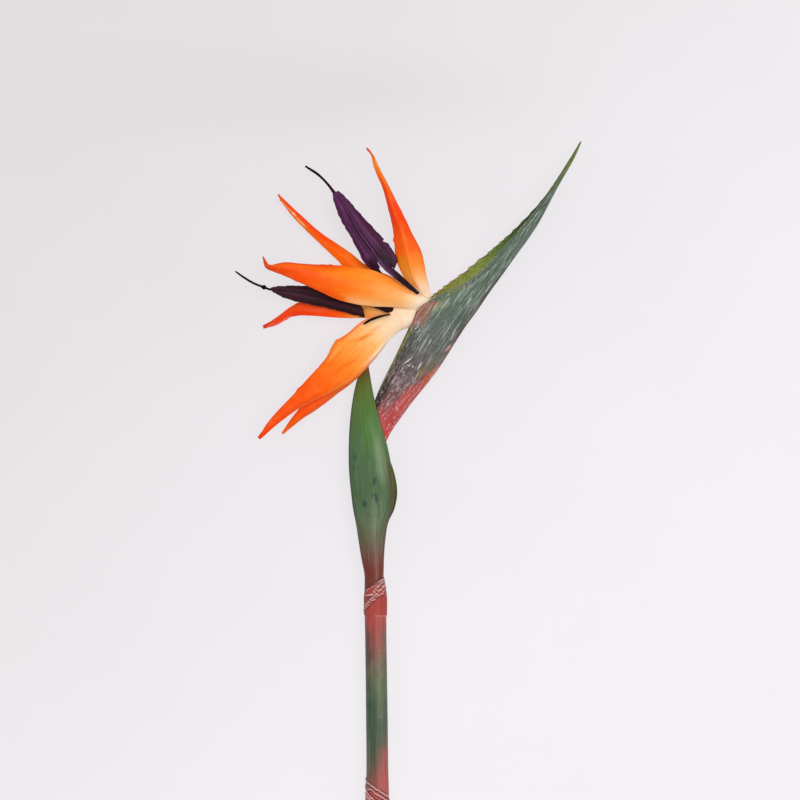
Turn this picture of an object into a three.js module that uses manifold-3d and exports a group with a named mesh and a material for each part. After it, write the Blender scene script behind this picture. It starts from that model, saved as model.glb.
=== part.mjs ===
// A cut bird of paradise flower lying on its side: a stalk wrapped in sheaths, a boat-shaped
// spathe like a beak, and two flowers that stand out of its mouth, each with three orange sepals,
// an arrow-shaped violet tongue and a thread-like style.
//
// Millimetres, +Z up. The origin is under the middle of the flower, on the surface it lies on.
// +Y runs along the stalk towards the head, +X to the spathe's side.

import * as THREE from "three";
import { mergeVertices } from "three/addons/utils/BufferGeometryUtils.js";
import Module from "manifold-3d";

const wasm = await Module();
wasm.setup();

// Sizes that several pieces share.

const MID_HEIGHT = 11; // the head's mid-plane above the surface
const CLEARANCE = 0.3; // between two pieces that touch
const REACH = 400; // longer than anything that a cut has to pass through
const CUT_MARGIN = 1; // how far a piece runs on past the place where it is cut off
const WELD = 1e-4; // points of one surface closer together than this are one point
const SEAM = 0.01; // and so are the corners that a cut or a join leaves
const SLOPE_STEP = 1e-3; // the step, as a share of a surface's length, that its slope is taken over

const SHEATH_RADIUS = 6.05;
const SHEATH_WALL = 1.15;
const STALK_RADIUS = SHEATH_RADIUS - SHEATH_WALL - CLEARANCE;
const STALK_TOP_RADIUS = 3.1; // where the bract and the spathe's neck wrap it
const RECEPTACLE_RADIUS = 4.4; // the stalk's swollen end, which carries the flowers

const BRACT_WALL = 1.15;
const SPATHE_WALL = 1.3;
const MARGIN_THINNING = 0.4; // the share of a bract's wall that is lost at its margins
const THINNING_POWER = 6; // how late, on the way there, the wall starts to thin

const SEPAL_RIB = 1.15; // a sepal's thickness along its rib
const SEPAL_EDGE = 0.65; // and at its margins
const TONGUE_RIDGE = 2;
const TONGUE_STALK = 1.5;
const TONGUE_EDGE = 0.7;
const RIB_SHARPNESS = 1.35; // a blade folds like a V at 1 and arches like a bow at 2
const STYLE_RADIUS = 0.65;
const SMALL_PETAL_RADIUS = 0.5;

// How finely the surfaces are divided.

const STALK_SIDES = 14;
const STALK_STEPS = 26;
const SHEATH_SIDES = 20;
const SHEATH_STEPS = 6;
const OVARY_SIDES = 14;
const OVARY_STEPS = 10;
const THREAD_SIDES = 6;
const THREAD_STEPS = 8;
const SEPAL_ROWS = 20;
const SEPAL_COLUMNS = 6;
const LOBE_ROWS = 14;
const LOBE_COLUMNS = 8;
const TONGUE_STALK_ROWS = 10;
const TONGUE_STALK_COLUMNS = 4;
const SPATHE_ROWS = 34;
const SPATHE_COLUMNS = 12;
const BRACT_ROWS = 26;
const BRACT_COLUMNS = 10;
const TIP_ROWS = 6;

// Each route and rail is a list of [x, y, depth] in mm, from the root to the tip. Depth counts up
// from the head's mid-plane. The rails of one piece have the same number of points, and points
// with the same number lie across from each other.

const STALK = {
  route: [
    [-16.5, -241, -5.2],
    [-17, -176, -4.1],
    [-17.5, -114, -3],
    [-18, -19, -1.2],
    [-18.5, -10, -1],
    [-19, 3, -0.8],
    [-20, 27, -0.4],
    [-20, 49, -0.1],
    [-19.4, 67, 0],
    [-16, 84, 0],
    [-8.5, 97, 0],
    [-4, 103.5, 0],
  ],
  radii: [
    STALK_RADIUS,
    STALK_RADIUS,
    STALK_RADIUS,
    STALK_RADIUS,
    4.3,
    3.4,
    STALK_TOP_RADIUS,
    STALK_TOP_RADIUS,
    STALK_TOP_RADIUS,
    STALK_TOP_RADIUS,
    3.9,
    RECEPTACLE_RADIUS,
  ],
};

const LOWER_NODE_Y = -127.5; // the ring where the middle sheath grows from the stalk
const UPPER_NODE_Y = -18.7; // the ring where the bract grows from it

// The margins of a sheath cross over at its node as thin raised lips that wind round the stalk.
// Each lip is a list of [y, angle, radius]: the angle is 0 at the +X side and 90 on top.
const LIP_RADIUS = 0.6;
const UPPER_LIPS = {
  centre: [-18.4, -1.1], // x and depth of the stalk's axis here
  turns: [
    [
      [-14, 150, 6],
      [-10.5, 114, 5.9],
      [-6.3, 76, 5.7],
      [-3.6, 39, 5.5],
      [-1.6, 0, 5.3],
    ],
    [
      [-16.5, 165, 6],
      [-14.7, 135, 6],
      [-11.2, 106, 5.9],
      [-8.8, 76, 5.8],
      [-6.3, 41, 5.7],
      [-4.2, 0, 5.5],
    ],
  ],
};
const LOWER_LIPS = {
  centre: [-17.4, -3],
  turns: [
    [
      [-109.8, 175, 5.9],
      [-112.8, 126, 5.9],
      [-114.7, 98, 5.9],
      [-116.8, 71, 5.9],
      [-119.6, 23, 5.9],
      [-121, 0, 5.9],
    ],
    [
      [-113.3, 180, 5.9],
      [-116.4, 155, 5.9],
      [-118.9, 128, 5.9],
      [-121, 105, 5.9],
      [-124, 60, 5.9],
      [-126, 15, 5.9],
    ],
  ],
};

const STEM_BRACT = {
  keel: [
    [-24.5, -18.5, -1.2],
    [-24.5, -9.5, -1],
    [-24, 3, -0.8],
    [-26.5, 15, -0.6],
    [-29, 31, -0.4],
    [-30.5, 39, -0.3],
    [-31.5, 48.5, -0.2],
    [-33, 60.5, 0],
    [-33, 74, 0],
    [-32, 88, -0.8],
    [-30, 102.5, -3],
    [-27.5, 113.5, -4.8],
    [-24, 126, -6],
  ],
  nearMargin: [
    [-12, -18.5, -0.8],
    [-12.5, -9.5, -0.6],
    [-14, 3, -0.4],
    [-13.5, 15, -0.2],
    [-12, 31, 0.3],
    [-10.5, 39, 1.6],
    [-9, 48.5, 3],
    [-10, 60.5, 4],
    [-12, 74, 5.5],
    [-16, 88, 7.2],
    [-19.5, 102.5, 1],
    [-21.5, 113.5, -3],
    [-23.5, 126, -5.5],
  ],
  farMargin: [
    [-12, -18.5, -1.6],
    [-12.5, -9.5, -1.4],
    [-14, 3, -1.2],
    [-13.5, 15, -1],
    [-12, 31, -1],
    [-8.5, 39.5, -2],
    [-6, 49.5, -2.8],
    [-7.5, 60.5, -3.6],
    [-14, 74, -6.4],
    [-24, 88, -6.4],
    [-26, 102.5, -5.4],
    [-25.5, 113.5, -6],
    [-23.5, 126, -6.5],
  ],
  halfDepth: [6.1, 6.1, 5.1, 5.7, 6.6, 7, 7.2, 7.4, 7.4, 6.9, 3.6, 2, 0.9],
  roundness: [1, 1, 1, 1, 0.9, 0.85, 0.8, 0.8, 0.8, 0.7, 0.7, 0.6, 0.5],
  wall: BRACT_WALL,
  solidFrom: 0.85,
};

const SPATHE = {
  keel: [
    [-14.6, 55, 0],
    [-12.8, 75, 0],
    [-3, 93.5, 0],
    [15, 115.5, 0],
    [30.5, 138, 0],
    [37.5, 147.5, 0],
    [44, 157.5, 0],
    [56.5, 175.5, 0],
    [70, 195, 0],
    [81.5, 215.5, 0],
    [91, 232, 0],
    [95, 241, 0],
  ],
  nearMargin: [
    [-25, 55, 0.4],
    [-23.4, 79, 0.4],
    [-18, 99, 0.5],
    [-7.5, 124, 2.6],
    [1.5, 141, 7],
    [5, 149, 7.4],
    [12.5, 155, 6.6],
    [34, 166, 4],
    [53.5, 186, 2.4],
    [72.5, 208.5, 1.5],
    [89, 231.5, 0.8],
    [94.5, 241.3, 0.4],
  ],
  farMargin: [
    [-25, 55, -0.4],
    [-23.4, 79, -0.4],
    [-18, 99, -0.5],
    [-7.5, 124.5, -2.6],
    [1, 142, -7],
    [4.5, 151, -7.4],
    [12.5, 157, -6.6],
    [32, 171, -4],
    [51.5, 188.5, -2.4],
    [72, 209.5, -1.5],
    [88.8, 231.8, -0.8],
    [94.4, 241.4, -0.4],
  ],
  halfDepth: [5.1, 5.3, 7, 9.6, 10.9, 11.2, 11.1, 9.4, 7.1, 4.7, 2.2, 0.8],
  roundness: [1, 0.9, 0.75, 0.6, 0.5, 0.5, 0.5, 0.45, 0.4, 0.4, 0.4, 0.4],
  wall: SPATHE_WALL,
  solidFrom: 0.85,
};

const UPPER_OVARY = {
  route: [
    [-1.2, 106, 2.7],
    [13, 125, 2.2],
    [20, 139, 0.8],
    [18, 148, 0.3],
    [11.5, 153, 0],
  ],
  radii: [2.3, 2.9, 3.9, 4.3, 3.6],
};

const LOWER_OVARY = {
  route: [
    [-1.8, 106.4, -2.7],
    [3, 121.5, -2.8],
    [9, 132, -0.8],
    [6.5, 139, -0.3],
    [1, 142.5, 0],
  ],
  radii: [2.3, 2.9, 3.6, 4.1, 3.6],
};

const UPPER_SEPAL_RIGHT = {
  left: [
    [6.5, 155.5, 0],
    [-3, 166.5, 0],
    [-7.5, 178, -1],
    [-9, 191, -1],
    [-11.5, 203.5, 0],
    [-15, 215.5, 1.5],
    [-19.5, 227.5, 3],
    [-21.5, 233, 4],
    [-23.5, 237, 5],
  ],
  rib: [
    [9.5, 155, 0.8],
    [2, 166.5, 1.8],
    [-2, 179.5, 2.6],
    [-6, 191.5, 3.2],
    [-9.5, 202.5, 3.6],
    [-13, 215.5, 4],
    [-18, 227.5, 4.5],
    [-21, 233.5, 4.8],
    [-23.5, 237, 5.2],
  ],
  right: [
    [12.5, 155, 0],
    [10, 166.5, 0.3],
    [8, 179.5, 0],
    [2, 191, 0.3],
    [-4, 203, 1],
    [-10.5, 216, 2],
    [-17, 227.5, 3.2],
    [-20.5, 233.5, 4.2],
    [-23, 237.5, 5],
  ],
};

const UPPER_SEPAL_BACK = {
  left: [
    [10, 150.5, -2.4],
    [-14, 157, -4.5],
    [-28.5, 164.5, -7],
    [-40, 176.5, -8],
    [-51.5, 187.5, -8],
    [-63.5, 199.5, -8],
    [-70, 208, -7.6],
    [-72.5, 212, -7],
  ],
  rib: [
    [10.5, 153.5, -1.8],
    [-10.5, 161, -3],
    [-25.5, 168.5, -4],
    [-37.5, 179, -4.6],
    [-49.5, 189, -5],
    [-61.5, 201, -5.5],
    [-69, 208.5, -6.2],
    [-72, 212.5, -6.8],
  ],
  right: [
    [10.5, 156, -2.2],
    [-7, 166, -4.5],
    [-21.5, 172, -7],
    [-34.5, 182, -8],
    [-47.5, 191, -8],
    [-60, 202, -8],
    [-68, 209.5, -7.6],
    [-72, 212.5, -7],
  ],
};

const UPPER_SEPAL_FRONT = {
  left: [
    [5, 148.5, 4.2],
    [-4, 149.5, 5.2],
    [-18, 150.5, 7.5],
    [-36.5, 153.5, 10.5],
    [-56.5, 161.5, 13.5],
    [-70.5, 167.5, 16],
    [-78.5, 171, 17.8],
    [-80, 177.5, 19],
  ],
  rib: [
    [10, 152, 4.8],
    [-3, 155, 8],
    [-18, 159.5, 12],
    [-36, 163, 15.5],
    [-55, 168, 18],
    [-69.5, 171.5, 19.4],
    [-77.5, 172.5, 19.6],
    [-80, 177.5, 19.4],
  ],
  right: [
    [11.5, 154.5, 4],
    [-3, 161, 5.5],
    [-17, 169.5, 8],
    [-34, 173, 11],
    [-53.5, 174, 14],
    [-69, 174.5, 16.5],
    [-76, 174, 18],
    [-79.5, 177.5, 19],
  ],
};

const LOWER_SEPAL_BACK = {
  left: [
    [0.5, 140.5, -2],
    [-12, 143.5, -3],
    [-25.5, 144, -4.5],
    [-38, 144.5, -6],
    [-49.5, 145.5, -7],
    [-58.5, 146, -8],
    [-65, 145, -9],
    [-71.5, 141, -10],
    [-80, 138.5, -10.8],
  ],
  rib: [
    [0.5, 143, -1.6],
    [-12, 147, -1.8],
    [-25, 148, -2.6],
    [-38, 149, -3.6],
    [-50, 149.5, -4.6],
    [-59.5, 149.5, -6],
    [-66, 147, -7.6],
    [-72.5, 142, -9.4],
    [-80, 139, -10.6],
  ],
  right: [
    [1, 145.5, -2],
    [-11.5, 151, -3],
    [-24, 152.5, -4.5],
    [-38, 153.5, -6],
    [-50, 153.5, -7],
    [-60, 153, -8],
    [-67, 148.5, -9],
    [-73.5, 143.5, -10],
    [-80, 139.5, -10.8],
  ],
};

const LOWER_SEPAL_FRONT = {
  left: [
    [0.5, 139, 3.3],
    [-5, 137, 4],
    [-9, 133.5, 4.2],
    [-12.5, 130, 4.5],
    [-20.5, 120, 5],
    [-26, 114, 5.5],
    [-31.5, 109.5, 5.5],
    [-43.5, 103, 5.5],
    [-59.5, 95, 6],
    [-70, 87.5, 6.5],
    [-82.5, 77.5, 7],
  ],
  rib: [
    [3, 144, 5.1],
    [-6.5, 142.5, 6.8],
    [-11.5, 140, 8.2],
    [-16.5, 136.5, 8.9],
    [-26, 128, 9.8],
    [-33, 121, 10.2],
    [-39, 115, 10.2],
    [-47, 107, 9.8],
    [-61, 97.5, 9],
    [-73, 88.5, 8.2],
    [-82.5, 78, 7.3],
  ],
  right: [
    [4.5, 149.5, 2.8],
    [-8.5, 149, 2.8],
    [-11, 146, 3.8],
    [-19, 144, 4.8],
    [-33.5, 136, 5.6],
    [-41.5, 130, 6],
    [-44.5, 123, 6],
    [-54, 112.5, 6],
    [-66, 100, 6],
    [-76.5, 88.5, 6.5],
    [-83, 78.5, 7],
  ],
};

const LOWER_SEPAL_UNDER = {
  left: [
    [0, 139, 0.2],
    [-6, 136.5, 0.5],
    [-10, 133, 0],
    [-18.5, 122, -0.8],
    [-29, 110.5, -1],
    [-40, 102, -1.3],
    [-50.5, 94, -1.5],
    [-59, 88.5, -1.8],
    [-69.5, 80, -2],
  ],
  rib: [
    [-0.5, 141.5, 1],
    [-8, 139, 2.2],
    [-13.5, 133.5, 2.4],
    [-22, 124, 2.2],
    [-32.5, 112.5, 2],
    [-43.5, 103, 1.5],
    [-54, 95, 1],
    [-61, 89.5, 0],
    [-70, 80.5, -1.7],
  ],
  right: [
    [-0.5, 144, 0.4],
    [-11.5, 143, 1],
    [-17.5, 135, 0.3],
    [-26, 125.5, -0.3],
    [-36.5, 114.5, -0.5],
    [-48, 104, -0.5],
    [-57, 97.5, -1],
    [-63.5, 90.5, -1.5],
    [-70, 81, -2],
  ],
};

const UPPER_TONGUE = {
  left: [
    [-41.5, 212.5, 3.2],
    [-41, 207.5, 2.6],
    [-37.5, 197.5, 1.9],
    [-33, 189, 1.5],
    [-28.5, 181, 1.5],
    [-23, 172.5, 1.5],
    [-16, 168.5, 1.5],
  ],
  rib: [
    [-41.2, 213, 3.4],
    [-37, 206.7, 3.3],
    [-32, 198.3, 3.1],
    [-27.5, 190.5, 2.9],
    [-22.5, 183.5, 2.8],
    [-19.5, 179.5, 2.7],
    [-17.5, 177, 2.6],
  ],
  right: [
    [-40.5, 213.5, 3.2],
    [-34, 209, 2.6],
    [-27, 201.5, 1.9],
    [-20, 194, 1.5],
    [-11.5, 185, 1.5],
    [-7, 176.5, 1.5],
    [-9, 172, 1.5],
  ],
  stalk: {
    left: [
      [-23.5, 183, 2.6],
      [-17.5, 176.5, 2.5],
      [-13, 170, 2.4],
      [-9, 166.5, 2.4],
      [-3, 161.5, 2.4],
      [3.5, 157, 2.4],
    ],
    rib: [
      [-22.5, 183.9, 2.7],
      [-16, 177.5, 2.6],
      [-11, 171, 2.5],
      [-6.7, 167.5, 2.5],
      [-1, 162.2, 2.5],
      [4.8, 157.5, 2.5],
    ],
    right: [
      [-21.5, 184.5, 2.6],
      [-14.5, 178.5, 2.5],
      [-9, 172.5, 2.4],
      [-4.5, 168.5, 2.4],
      [1, 163, 2.4],
      [6, 158, 2.4],
    ],
  },
};

const LOWER_TONGUE = {
  left: [
    [-76, 159.5, 1.8],
    [-74, 158, 1.8],
    [-67, 154.6, 1.8],
    [-56.5, 152, 1.8],
    [-45, 149.6, 1.4],
    [-32, 146.2, 1],
    [-24.5, 144.6, 0.9],
  ],
  rib: [
    [-76.2, 160, 2],
    [-71, 159, 2.6],
    [-64.4, 158, 2.9],
    [-55.5, 156.6, 2.8],
    [-46.2, 155.2, 2.4],
    [-36, 154, 1.9],
    [-28, 152, 1.6],
  ],
  right: [
    [-76, 160.6, 1.8],
    [-73.6, 161.2, 1.8],
    [-65.5, 161.8, 1.8],
    [-55.5, 161.6, 1.8],
    [-43.5, 160.4, 1.4],
    [-32.5, 158.4, 1],
    [-23.5, 155, 0.9],
  ],
  stalk: {
    left: [
      [-38, 153.2, 1.7],
      [-31.5, 151.8, 1.4],
      [-25, 151, 1.2],
      [-18, 149.5, 1.1],
      [-12.5, 147.5, 1],
      [-1, 144.5, 0.6],
    ],
    rib: [
      [-37.8, 154.2, 1.8],
      [-31.2, 153.2, 1.5],
      [-24.5, 152.5, 1.3],
      [-17.8, 151.5, 1.2],
      [-12, 149.8, 1.1],
      [-0.5, 146, 0.7],
    ],
    right: [
      [-37.5, 155.2, 1.7],
      [-31, 154.8, 1.4],
      [-24, 154, 1.2],
      [-17.5, 153.5, 1.1],
      [-11.5, 152, 1],
      [0, 147.5, 0.6],
    ],
  },
};

const UPPER_STYLE = [
  [-41.3, 213.4, 3.5],
  [-44, 217.5, 4],
  [-47.5, 222, 4.6],
  [-49.6, 224, 5],
  [-54, 226, 5.6],
  [-57, 227.6, 6],
];

const LOWER_STYLE = [
  [-77.1, 160.3, 2],
  [-79.5, 161, 2.1],
  [-85, 163.5, 2.4],
  [-90.5, 167, 2.8],
  [-95.3, 170.2, 3.2],
];

const LOWER_SMALL_PETAL = [
  [-10, 146, 6.4],
  [-15.5, 145, 6.8],
  [-20, 143.5, 7.6],
  [-24.5, 141, 8.4],
];

// Curves and profiles

/** A smooth curve through [x, y, depth] points. */
function curveThrough(points) {
  const places = points.map(([x, y, depth]) => new THREE.Vector3(x, y, MID_HEIGHT + depth));
  return new THREE.CatmullRomCurve3(places);
}

/** A smooth function of t, from 0 to 1, through evenly spaced values. */
function profileThrough(values) {
  const curve = new THREE.SplineCurve(values.map((value, i) => new THREE.Vector2(i, value)));
  return (t) => curve.getPoint(t).y;
}

// Solids

/** Makes a geometry from points and triangles that number them. */
function geometryOf(points, triangles) {
  const geometry = new THREE.BufferGeometry();
  geometry.setAttribute("position", new THREE.Float32BufferAttribute(points.flatMap((p) => p.toArray()), 3));
  geometry.setIndex(triangles);
  return geometry;
}

/** Turns a closed geometry into a solid that can be joined and cut. */
function solidOf(geometry) {
  const bare = geometry.clone();
  bare.deleteAttribute("normal");
  bare.deleteAttribute("uv");
  const merged = mergeVertices(bare, WELD);
  return new wasm.Manifold(
    new wasm.Mesh({
      numProp: 3,
      vertProperties: merged.attributes.position.array,
      triVerts: new Uint32Array(merged.index.array),
    }),
  );
}

/** The geometry of a solid, with the corners that a cut or a join left close together merged. */
function geometryFrom(solid) {
  const mesh = solid.getMesh();
  const cut = new THREE.BufferGeometry();
  cut.setAttribute("position", new THREE.Float32BufferAttribute(mesh.vertProperties, 3));
  cut.setIndex(Array.from(mesh.triVerts));
  const geometry = mergeVertices(cut, SEAM);
  const triangles = [];
  for (let i = 0; i < geometry.index.count; i += 3) {
    const [a, b, c] = geometry.index.array.subarray(i, i + 3);
    if (a !== b && b !== c && c !== a) triangles.push(a, b, c);
  }
  return geometry.setIndex(triangles);
}

/** Joins rings with equal numbers of points into a closed body, with a fan over each end. */
function loft(rings) {
  const size = rings[0].length;
  const points = rings.flat();
  const triangles = [];
  for (let i = 0; i < rings.length - 1; i++) {
    for (let k = 0; k < size; k++) {
      const next = (k + 1) % size;
      const [a, b, c, d] = [i * size + k, i * size + next, (i + 1) * size + next, (i + 1) * size + k];
      triangles.push(a, b, c, a, c, d);
    }
  }
  for (const end of [0, rings.length - 1]) {
    const middle = new THREE.Vector3();
    rings[end].forEach((p) => middle.addScaledVector(p, 1 / size));
    points.push(middle);
    for (let k = 0; k < size; k++) {
      const [a, b] = [end * size + k, end * size + ((k + 1) % size)];
      triangles.push(points.length - 1, ...(end ? [a, b] : [b, a]));
    }
  }
  return solidOf(geometryOf(points, triangles));
}

/** A round rod along a route, whose radius follows a profile. extend lengthens both its ends. */
function rod({ route, radii }, sides, steps, { grow = 0, extend = grow } = {}) {
  const curve = curveThrough(route);
  const radiusAt = profileThrough(radii);
  const rings = [];
  const across = new THREE.Vector3(0, 0, 1);
  for (let i = 0; i <= steps; i++) {
    const t = i / steps;
    const along = curve.getTangent(t);
    const side = new THREE.Vector3().crossVectors(across, along).normalize();
    const up = new THREE.Vector3().crossVectors(along, side);
    const centre = curve.getPoint(t);
    if (i === 0) centre.addScaledVector(along, -extend);
    if (i === steps) centre.addScaledVector(along, extend);
    const radius = radiusAt(t) + grow;
    rings.push(
      Array.from({ length: sides }, (_, k) => {
        const angle = (2 * Math.PI * k) / sides;
        const out = side.clone().multiplyScalar(radius * Math.cos(angle));
        return centre.clone().add(out).addScaledVector(up, radius * Math.sin(angle));
      }),
    );
  }
  return loft(rings);
}

/** The direction square to surface(t, w), where t runs from 0 to 1 and w from -1 to 1. */
function normalAt(surface, t, w) {
  const along = surface(Math.min(t + SLOPE_STEP, 1), w).sub(surface(Math.max(t - SLOPE_STEP, 0), w));
  const across = surface(t, Math.min(w + SLOPE_STEP, 1)).sub(surface(t, Math.max(w - SLOPE_STEP, -1)));
  return along.cross(across).normalize();
}

/**
 * A leaf-like solid over a surface. surface(t, w) gives its points, with t from 0 at the root to 1
 * at the tip and w from -1 to 1 across. Both faces are split into the same triangles.
 */
function sheet(surface, thickness, rows, columns) {
  const faces = [[], []];
  for (let i = 0; i <= rows; i++) {
    for (let j = 0; j <= columns; j++) {
      const t = i / rows;
      const w = -1 + (2 * j) / columns;
      const normal = normalAt(surface, t, w);
      faces[0].push(surface(t, w).addScaledVector(normal, thickness(w) / 2));
      faces[1].push(surface(t, w).addScaledVector(normal, -thickness(w) / 2));
    }
  }
  const count = faces[0].length;
  const at = (i, j, face) => face * count + i * (columns + 1) + j;
  const triangles = [];
  const quad = (a, b, c, d) => triangles.push(a, b, c, a, c, d);
  for (let i = 0; i < rows; i++) {
    for (let j = 0; j < columns; j++) {
      quad(at(i, j, 0), at(i + 1, j, 0), at(i + 1, j + 1, 0), at(i, j + 1, 0));
      const [a, b, c, d] = [at(i, j, 1), at(i + 1, j, 1), at(i + 1, j + 1, 1), at(i, j + 1, 1)];
      triangles.push(a, c, b, a, d, c);
    }
    quad(at(i, 0, 0), at(i, 0, 1), at(i + 1, 0, 1), at(i + 1, 0, 0));
    quad(at(i, columns, 0), at(i + 1, columns, 0), at(i + 1, columns, 1), at(i, columns, 1));
  }
  for (let j = 0; j < columns; j++) {
    quad(at(0, j, 0), at(0, j + 1, 0), at(0, j + 1, 1), at(0, j, 1));
    quad(at(rows, j, 0), at(rows, j, 1), at(rows, j + 1, 1), at(rows, j + 1, 0));
  }
  return solidOf(geometryOf([...faces[0], ...faces[1]], triangles));
}

/** A blade between two margins, arched or folded along its rib. */
function blade({ left, rib, right }, { ribThickness, edgeThickness, rows, columns }) {
  const [l, m, r] = [left, rib, right].map(curveThrough);
  const surface = (t, w) => {
    const [a, b, c] = [l.getPoint(t), m.getPoint(t), r.getPoint(t)];
    const half = c.clone().sub(a).multiplyScalar(w / 2);
    const sag = a.add(c).multiplyScalar(0.5).sub(b).multiplyScalar(Math.abs(w) ** RIB_SHARPNESS);
    return b.add(half).add(sag);
  };
  const thickness = (w) => THREE.MathUtils.lerp(ribThickness, edgeThickness, Math.abs(w));
  return sheet(surface, thickness, rows, columns);
}

/**
 * A bract folded along its keel, with its margins close together. It is a thin wall from its base
 * to solidFrom, a share of its length, and solid from there to its tip. Its faces are the outer
 * one, the inner one, the edges along both margins, the base, the floor of the hollow and the tip.
 */
function foldedBract({ keel, nearMargin, farMargin, halfDepth, roundness, wall, solidFrom }, rows, columns) {
  const keelCurve = curveThrough(keel);
  const margins = [curveThrough(nearMargin), curveThrough(farMargin)];
  const depthAt = profileThrough(halfDepth);
  const roundAt = profileThrough(roundness);
  const surface = (t, w) => {
    const s = Math.abs(w);
    const base = keelCurve.getPoint(t);
    const margin = margins[w < 0 ? 0 : 1].getPoint(t);
    const lean = margin.z - base.z;
    const side = w < 0 ? 1 : -1;
    const reach = THREE.MathUtils.lerp(s, (1 - Math.cos(Math.PI * s)) / 2, roundAt(t));
    const bulge = Math.max(depthAt(t) - Math.abs(lean) / 2, 0) * Math.sin(Math.PI * s);
    const x = THREE.MathUtils.lerp(base.x, margin.x, reach);
    const y = THREE.MathUtils.lerp(base.y, margin.y, reach);
    return new THREE.Vector3(x, y, base.z + lean * s + side * bulge);
  };
  const opening = margins[0].getPoint(0.5).sub(keelCurve.getPoint(0.5));
  const opensLeft = keelCurve.getTangent(0.5).cross(opening).z > 0;
  const inwards = opensLeft ? 1 : -1;
  const places = Array.from({ length: columns + 1 }, (_, j) => -1 + (2 * j) / columns);
  const outerRing = (t) => places.map((w) => surface(t, w));
  const innerRing = (t) =>
    places.map((w) => {
      const thickness = wall * (1 - MARGIN_THINNING * w ** THINNING_POWER);
      return surface(t, w).addScaledVector(normalAt(surface, t, w), inwards * thickness);
    });
  const hollow = Array.from({ length: rows + 1 }, (_, i) => (solidFrom * i) / rows);
  const toTip = (i) => THREE.MathUtils.lerp(solidFrom, 1, (i + 1) / TIP_ROWS);
  const solid = Array.from({ length: TIP_ROWS }, (_, i) => toTip(i));
  const rings = [...hollow, ...solid].map(outerRing);
  const last = rings.length - 1;
  const points = [...rings.flat(), ...hollow.flatMap(innerRing)];
  const triangles = [];
  const quad = (a, b, c, d) => triangles.push(a, b, c, a, c, d);
  const outer = (i, j) => i * (columns + 1) + j;
  const inner = (i, j) => outer(last + 1 + i, j);
  const fan = (loop) => {
    const middle = new THREE.Vector3();
    loop.forEach((k) => middle.addScaledVector(points[k], 1 / loop.length));
    points.push(middle);
    loop.forEach((k, i) => triangles.push(k, loop[(i + 1) % loop.length], points.length - 1));
  };
  for (let i = 0; i < last; i++) {
    for (let j = 0; j < columns; j++) {
      quad(outer(i, j), outer(i + 1, j), outer(i + 1, j + 1), outer(i, j + 1));
    }
  }
  for (let i = 0; i < rows; i++) {
    for (let j = 0; j < columns; j++) {
      triangles.push(inner(i, j), inner(i + 1, j + 1), inner(i + 1, j));
      triangles.push(inner(i, j), inner(i, j + 1), inner(i + 1, j + 1));
    }
    quad(outer(i, 0), inner(i, 0), inner(i + 1, 0), outer(i + 1, 0));
    quad(outer(i, columns), outer(i + 1, columns), inner(i + 1, columns), inner(i, columns));
  }
  for (let i = rows; i < last; i++) {
    quad(outer(i, columns), outer(i + 1, columns), outer(i + 1, 0), outer(i, 0));
  }
  for (let j = 0; j < columns; j++) {
    quad(outer(0, j), outer(0, j + 1), inner(0, j + 1), inner(0, j));
  }
  fan([...places.map((_, j) => inner(rows, j)), outer(rows, columns), outer(rows, 0)]);
  fan(places.map((_, j) => outer(last, columns - j)));
  if (opensLeft) triangles.reverse(); // the keel is on the other side, so the faces turn round
  return solidOf(geometryOf(points, triangles));
}

/** One solid from a first one and the others that grow out of it. */
function join(first, others) {
  return others.reduce((whole, other) => whole.add(other), first);
}

/** Everything above a height. */
function above(height) {
  const block = new THREE.BoxGeometry(2 * REACH, 2 * REACH, REACH);
  return solidOf(block.translate(0, 0, height + REACH / 2));
}

/** Everything on one side of a plane across the flower's length. */
function between(low, high) {
  const block = new THREE.BoxGeometry(2 * REACH, high - low, 2 * REACH);
  return solidOf(block.translate(0, (low + high) / 2, 0));
}

// Pieces

/** A closed sheath round the stalk, between two places along it. */
function sheathBetween(low, high) {
  const route = STALK.route.slice(0, 5);
  const tube = (radius, extend) =>
    rod({ route, radii: [radius, radius] }, SHEATH_SIDES, SHEATH_STEPS, { extend });
  return tube(SHEATH_RADIUS, CUT_MARGIN)
    .subtract(tube(SHEATH_RADIUS - SHEATH_WALL, 2 * CUT_MARGIN))
    .intersect(between(low, high));
}

/** Thin lips that wind round a node, one for each turn. */
function lips({ centre: [x, depth], turns }) {
  return turns.map((turn) => {
    const route = turn.map(([y, degrees, radius]) => {
      const angle = THREE.MathUtils.degToRad(degrees);
      return [x + radius * Math.cos(angle), y, depth + radius * Math.sin(angle)];
    });
    return thread(route, LIP_RADIUS);
  });
}

function sepal(rails) {
  return blade(rails, {
    ribThickness: SEPAL_RIB,
    edgeThickness: SEPAL_EDGE,
    rows: SEPAL_ROWS,
    columns: SEPAL_COLUMNS,
  });
}

function thread(route, radius) {
  return rod({ route, radii: [radius, radius] }, THREAD_SIDES, THREAD_STEPS);
}

/** A tongue: two lobes that swell up to the ridge between them, and the stalk they grow from. */
function tongue({ stalk, ...lobes }) {
  const head = blade(lobes, {
    ribThickness: TONGUE_RIDGE,
    edgeThickness: TONGUE_EDGE,
    rows: LOBE_ROWS,
    columns: LOBE_COLUMNS,
  });
  const shaft = blade(stalk, {
    ribThickness: TONGUE_STALK,
    edgeThickness: TONGUE_EDGE,
    rows: TONGUE_STALK_ROWS,
    columns: TONGUE_STALK_COLUMNS,
  });
  return head.add(shaft);
}

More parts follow.
